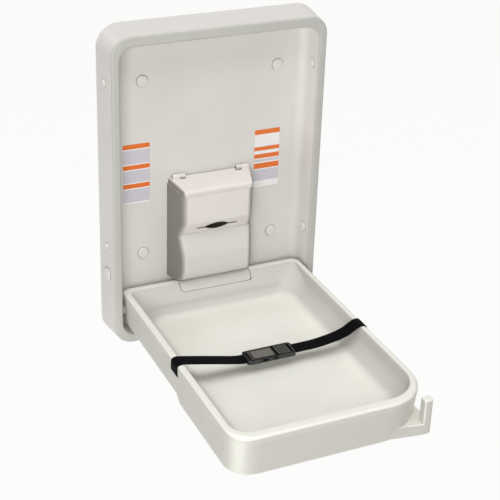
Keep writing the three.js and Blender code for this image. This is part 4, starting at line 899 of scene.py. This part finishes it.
for hand in (1, -1):
    xs = (70, 84) if hand > 0 else (-84, -70)
    combine(dispenser, hinge_tab("ear", xs, [(16.3, 395), (19.3, 395)] + knuckle(416, 19, 29)[2:]), "UNION")
dress(dispenser, "wall_unit", [box_plastic, box_painted_shade_inside], ["dispenser_body"])

# %% [markdown]
# ## The dispenser's lid
# The lid is a flap that hinges at the back on two small knuckles. Its front edge rolls over and hangs
# just past the box. Bevelling all its outer edges in one go lets them meet in round corners.

# %% Lid
lid = pull_across("dispenser_flap", [(20.6, 403.3), (82.4, 386.4), (83.6, 400.2), (20.6, 417)])
pick("faces", lambda face, x, out, rise: abs(x) < 50 and face.normal.z < -0.8)
bpy.ops.mesh.delete(type="FACE")
pick("edges", lambda edge, x, out, rise: not edge.is_boundary and (out > 82 or abs(x) > 90 and out > 21))
bpy.ops.mesh.bevel(offset=0.0065, segments=6)
modify(lid, "SOLIDIFY", thickness=0.003, offset=-1)
for hand in (1, -1):
    xs = (84.3, 104.3) if hand > 0 else (-104.3, -84.3)
    gap = (69, 84.3) if hand > 0 else (-84.3, -69)
    combine(lid, box_tool("ear_room", gap, (14, 31), (396, 440)), "DIFFERENCE")
    combine(lid, hinge_tab("knuckle", xs, knuckle(412, 20.8, 29)), "UNION")
dress(lid, "lid", [box_plastic], ["dispenser_lid"])

# %% [markdown]
# ## The lower housing
# Below the dispenser a bulged cover runs down to the tray. Its side view swells from a narrow neck to
# a belly and turns in at the foot. It is traced, pulled across and opened at the back like the box.

# %% Lower housing
def bend(start, pull, end, steps):
    rows = [k / steps for k in range(1, steps + 1)]
    return [tuple((1 - t) ** 2 * a + 2 * t * (1 - t) * b + t * t * c for a, b, c in zip(start, pull, end))
            for t in rows]


foot = [(16.3, 141), (55, 141)] + bend((55, 141), (79, 141), (79, 189), 8)
neck = [(79, 206.5)] + bend((79, 206.5), (79, 224), (62, 271.7), 10)
housing = pull_across("lower_cover", foot + neck + [(16.3, 248.9)])
pick("faces", lambda face, x, out, rise: out < 16.5)
bpy.ops.mesh.delete(type="FACE")
pick("edges", lambda edge, x, out, rise: abs(x) > 90 and out > 45 and rise > 142 and len(edge.link_faces) == 2
     and abs(edge.link_faces[0].normal.x - edge.link_faces[1].normal.x) > 0.5)
bpy.ops.mesh.bevel(offset=0.012, segments=6)
modify(housing, "SOLIDIFY", thickness=0.003, offset=-1)
dress(housing, "wall_unit", [housing_plastic], ["lower_housing"])

# %% [markdown]
# ## The label plates
# Each label is a thin vinyl plate with small round corners. An outline gives its face, a short extrude
# its thickness. It is made at the middle and then moved out to its side.

# %% Labels
for side, middle, low, vinyl in (("right", 160, RIGHT_LABEL_LOW, right_vinyl), ("left", -196, LEFT_LABEL_LOW, left_vinyl)):
    label = start_piece(f"label_{side}")
    add_outline(35, low, low + LABEL_HEIGHT, 2.5, 2.5, 16.1, upright=True)
    bpy.ops.mesh.extrude_region_move(TRANSFORM_OT_translate={"value": (0, -0.0009, 0)})
    bpy.ops.mesh.select_all(action="SELECT")
    bpy.ops.transform.translate(value=(middle / 1000, 0, 0))
    face_outwards()
    dress(label, "wall_unit", [vinyl], [f"label_plate_{side}"])

# %% [markdown]
# ## The strap
# A strap is a long strip, so its path is traced first: out of the slot, up the outside, over the rim
# and down to the buckle. Rounding the path's corners in code keeps the bends soft. Extruding that line
# sideways makes the strip and Solidify its thickness. Last, each corner gets a UV from its distance
# along the path, so that the weave follows every bend.

# %% Straps
STRAP_FROM, STRAP_TO = 395, 433


def rounded_path(points, parts=6):
    path = []
    ends = [points[0]] + points + [points[-1]]
    for a, b, c, d in zip(ends, ends[1:], ends[2:], ends[3:]):
        for k in range(parts):
            t = k / parts
            path.append(tuple(
                0.5 * (2 * q + (r - p) * t + (2 * p - 5 * q + 4 * r - s) * t * t + (3 * q - p - 3 * r + s) * t ** 3)
                for p, q, r, s in zip(a, b, c, d)))
    return path + [points[-1]]


def over_rim(hand):
    rim = [(242 + 9.2 * math.cos(a), 129 + 9.2 * math.sin(a)) for a in quarter(4)]
    rise_up = [(236.5, 95), (239, 100.5), (242.5, 105.8), (246, 107), (249.6, 107.3), (251.2, 109.5), (251.2, 114),
               (251.2, 120)]
    return [(hand * x, rise) for x, rise in rise_up + rim + [(238, 138.4), (231, 137.4)]]


def lay_strap(name, points, node):
    path = rounded_path(points)
    strap = start_piece(name)
    trace([spot(x, STRAP_FROM, rise) for x, rise in path])
    for k in range(4):
        bpy.ops.mesh.extrude_edges_move(TRANSFORM_OT_translate={"value": (0, (STRAP_FROM - STRAP_TO) / 4000, 0)})
    face_outwards()
    modify(strap, "SOLIDIFY", thickness=0.0018, offset=0)
    modify(strap, "BEVEL", width=0.0005, segments=2, limit_method="ANGLE", angle_limit=math.radians(60))
    reach = [0.0]
    for a, b in zip(path, path[1:]):
        reach.append(reach[-1] + math.dist(a, b) / 1000)
    marks = [spot(x, 0, rise) for x, rise in path]
    layer = strap.data.uv_layers.new(name="strap_length")
    for loop in strap.data.loops:
        v = strap.data.vertices[loop.vertex_index].co
        near = min(range(len(marks)), key=lambda i: (marks[i].x - v.x) ** 2 + (marks[i].z - v.z) ** 2)
        layer.data[loop.index].uv = (reach[near], -v.y)
    dress(strap, "tray", [webbing], [node], smooth=50)
    print(f"{name} is {1000 * reach[-1]:.0f} mm long")


left_path = over_rim(-1) + [(-190, 128.4), (-150, 119.2), (-108, 109.3), (-89, 105.3), (-76, 104), (-64, 104)]
right_path = over_rim(1) + [(217, 130.2), (202, 121.2), (184, 115.2), (164, 110.6), (126, 105.3), (96, 104), (52.3, 104)]
lay_strap("webbing_left", left_path, "strap_left")
lay_strap("webbing_right", right_path, "strap_right")

# %% [markdown]
# ## The buckle
# A side-release buckle has three kinds of piece: a socket with open sides, a plug with a tongue, and
# two springy latches whose pads stand out of the socket. Socket and plug start as cubes. Their corners
# and edges are bevelled, their faces inset into shallow panels, and booleans cut the mouth and the
# openings for the webbing.

# %% Buckle
BUCKLE_OUT, BUCKLE_RISE = 414, 104


def buckle_block(name, xs, half_width, half_height, nose):
    piece = box_tool(name, xs, (BUCKLE_OUT - half_width, BUCKLE_OUT + half_width),
                     (BUCKLE_RISE - half_height, BUCKLE_RISE + half_height))
    only(piece)
    bpy.ops.object.mode_set(mode="EDIT")
    end = xs[1] if nose > 0 else xs[0]
    pick("edges", lambda edge, x, out, rise: abs(x - end) < 0.1 and abs(rise - BUCKLE_RISE) < 0.1)
    bpy.ops.mesh.bevel(offset=0.008, segments=6)
    pick("faces", lambda face, x, out, rise: abs(face.normal.z) > 0.9)
    bpy.ops.mesh.inset(thickness=0.0002)
    pick("edges", lambda edge, x, out, rise: abs(abs(rise - BUCKLE_RISE) - half_height) < 0.01
         and len(edge.link_faces) == 2 and edge.calc_face_angle(0) > 1)
    bpy.ops.mesh.bevel(offset=0.0028, segments=4)
    return piece


def panel_tool(name, xs, outs, low):
    tool = box_tool(name, xs, outs, (low, 114))
    only(tool)
    bpy.ops.object.mode_set(mode="EDIT")
    pick("edges", lambda edge, x, out, rise: abs(rise - (low + 114) / 2) < 0.1)
    bpy.ops.mesh.bevel(offset=0.005, segments=5)
    for finish in (buckle_plastic, buckle_panel):
        tool.data.materials.append(finish)
    bpy.ops.mesh.select_all(action="SELECT")
    tool.active_material_index = 1
    bpy.ops.object.material_slot_assign()
    bpy.ops.object.mode_set(mode="OBJECT")
    return tool


socket = buckle_block("buckle_body", (-70, 8), 23, 6, -1)
bpy.ops.object.mode_set(mode="OBJECT")
socket.data.materials.append(buckle_plastic)
socket.data.materials.append(buckle_panel)
combine(socket, panel_tool("panel", (-50, 2), (398, 430), 109.2), "DIFFERENCE")
combine(socket, box_tool("strap_window", (-66, -58), (396, 432), (105, 112)), "DIFFERENCE")
combine(socket, box_tool("mouth", (-32, 20), (380, 448), (100.8, 107.2)), "DIFFERENCE")
combine(socket, box_tool("strap_way", (-75, -58), (393.2, 434.8), (101.9, 106.1)), "DIFFERENCE")
dress(socket, "tray", [buckle_plastic, buckle_panel], ["buckle_socket"])

plug = buckle_block("buckle_tongue", (8.3, 58.3), 23, 6, 1)
bpy.ops.object.mode_set(mode="OBJECT")
combine(plug, box_tool("tongue", (-18.7, 10), (408.3, 419.7), (101.4, 106.6)), "UNION")
combine(plug, box_tool("strap_way", (19.1, 70), (393.2, 434.8), (101.9, 106.1)), "DIFFERENCE")
combine(plug, box_tool("strap_window", (44, 52), (396, 432), (105, 112)), "DIFFERENCE")
for x in (17, 25, 33):
    combine(plug, box_tool("grip", (x, x + 2.6), (396, 432), (109, 112)), "DIFFERENCE")
dress(plug, "buckle_plug", [buckle_plastic], ["buckle_plug"])

for side, hand in (("front", 1), ("back", -1)):
    arm = [(8, 12.7), (-18.7, 12.7), (-18.7, 16.1), (-16.5, 24.4), (-2.5, 24.4), (0.2, 17.2), (8, 17.2)]
    latch = pull_up(f"latch_{side}_arm", [(x, BUCKLE_OUT + hand * w) for x, w in arm], 101.4, 106.6)
    bpy.ops.mesh.select_all(action="SELECT")
    bpy.ops.mesh.bevel(offset=0.0008, segments=2)
    dress(latch, f"latch_{side}", [buckle_plastic], [f"buckle_latch_{side}"])

# %% [markdown]
# ## Finishes for the solids that stay
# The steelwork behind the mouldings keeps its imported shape. It only needs its real finish.

# %% Steelwork
finish_of = {
    "back_plate": zinc, "hinge_plate": zinc, "hinge_pin": zinc, "stop_pin": zinc, "stop_stud": zinc,
    "bolt_sleeve": zinc, "crank": zinc, "lid_pin": zinc, "strap_bar": zinc, "tube_clamp": zinc,
    "hinge_spacer": grey_spacer_and_painted_shade, "hinge_bush": bush_nylon, "gas_rod": chrome, "gas_tube": black_paint,
    "liner_pack": paper,
}
for name, solid in nodes.items():
    finish = next((f for start, f in finish_of.items() if name.startswith(start)), None)
    if finish and not solid.hide_render:
        solid.data.materials.clear()
        solid.data.materials.append(finish)
print(sum(not solid.hide_render for solid in nodes.values()), "solids stay in view")

# %% [markdown]
# ## Floor and light
# The station hangs over a plain pale floor. A large soft lamp stands high in front on the left, and a
# low one at the left reaches into the case but not down into the tray. The world fills in the rest. To
# the camera, and in reflections, the world and the floor look almost white, while they light the
# station only softly.

# %% Floor
bpy.ops.object.select_all(action="DESELECT")
bpy.ops.mesh.primitive_plane_add(size=60, location=(0, 0, -1.1))
floor = bpy.context.object
floor.name = floor.data.name = "studio_floor"
floor_paper, shader = new_finish("matte_floor_paper", 0.9)
place = add_node(floor_paper, "ShaderNodeTexCoord").outputs["Object"]
fleck = add_node(floor_paper, "ShaderNodeTexNoise", {"Vector": place, "Scale": per_metre(400), "Detail": 2.0})
pale = add_node(floor_paper, "ShaderNodeMix", {"Factor": fleck.outputs["Fac"], "A": tint("#F4F4F2"),
                                               "B": tint("#F7F7F5")}, data_type="RGBA")
feed(floor_paper, pale.outputs["Result"], shader.inputs["Base Color"])


def seen_directly(owner):
    path = add_node(owner, "ShaderNodeLightPath")
    seen = add_node(owner, "ShaderNodeMath", {0: path.outputs["Is Camera Ray"], 1: path.outputs["Is Glossy Ray"]},
                    operation="MAXIMUM")
    return add_node(owner, "ShaderNodeMath", {0: seen.outputs["Value"], 1: path.outputs["Is Transmission Ray"]},
                    operation="MAXIMUM").outputs["Value"]


white = add_node(floor_paper, "ShaderNodeEmission", {"Color": tint("#FDFDFC"), "Strength": 1.0})
share = add_node(floor_paper, "ShaderNodeMath", {0: seen_directly(floor_paper), 1: 0.97}, operation="MULTIPLY")
mixed = add_node(floor_paper, "ShaderNodeMixShader", {0: share.outputs["Value"], 1: shader.outputs["BSDF"],
                                                      2: white.outputs["Emission"]})
feed(floor_paper, mixed.outputs["Shader"], floor_paper.node_tree.nodes["Material Output"].inputs["Surface"])
floor.data.materials.append(floor_paper)
print("floor at", floor.location.z, "m")

# %% World
world = bpy.data.worlds.new("studio_world")
world.use_nodes = True
bpy.context.scene.world = world
fill = world.node_tree.nodes["Background"]
fill.inputs["Color"].default_value = tint("#FBFBFF")
fill.inputs["Strength"].default_value = 0.12
bright = add_node(world, "ShaderNodeBackground", {"Color": tint("#FDFDFC"), "Strength": 1.0})
sky = add_node(world, "ShaderNodeMixShader", {0: seen_directly(world), 1: fill.outputs["Background"],
                                              2: bright.outputs["Background"]})
feed(world, sky.outputs["Shader"], world.node_tree.nodes["World Output"].inputs["Surface"])


def add_lamp(name, place, target, size, power):
    light = bpy.data.lights.new(name, "AREA")
    light.shape = "DISK"
    light.size = size
    light.energy = power
    lamp = bpy.data.objects.new(name, light)
    bpy.context.scene.collection.objects.link(lamp)
    lamp.location = place
    lamp.rotation_euler = (Vector(target) - Vector(place)).to_track_quat("-Z", "Y").to_euler()
    return lamp


lamps = [
    add_lamp("front_softbox", (-1.8, -3.4, 1.0), (0, -0.3, 0), 2.2, 80),
    add_lamp("overhead_softbox", (0.1, -0.9, 4.2), (0, -0.4, -0.2), 5.0, 190),
    add_lamp("low_left_softbox", (-2.8, -0.65, -0.45), (0.2, -0.1, 0.05), 1.0, 11),
]
print(len(lamps), "lamps")

# %% [markdown]
# ## Finish
# The view transform is set to Standard, so a colour comes out as it is written.

# %% Finish
bpy.context.scene.view_settings.view_transform = "Standard"
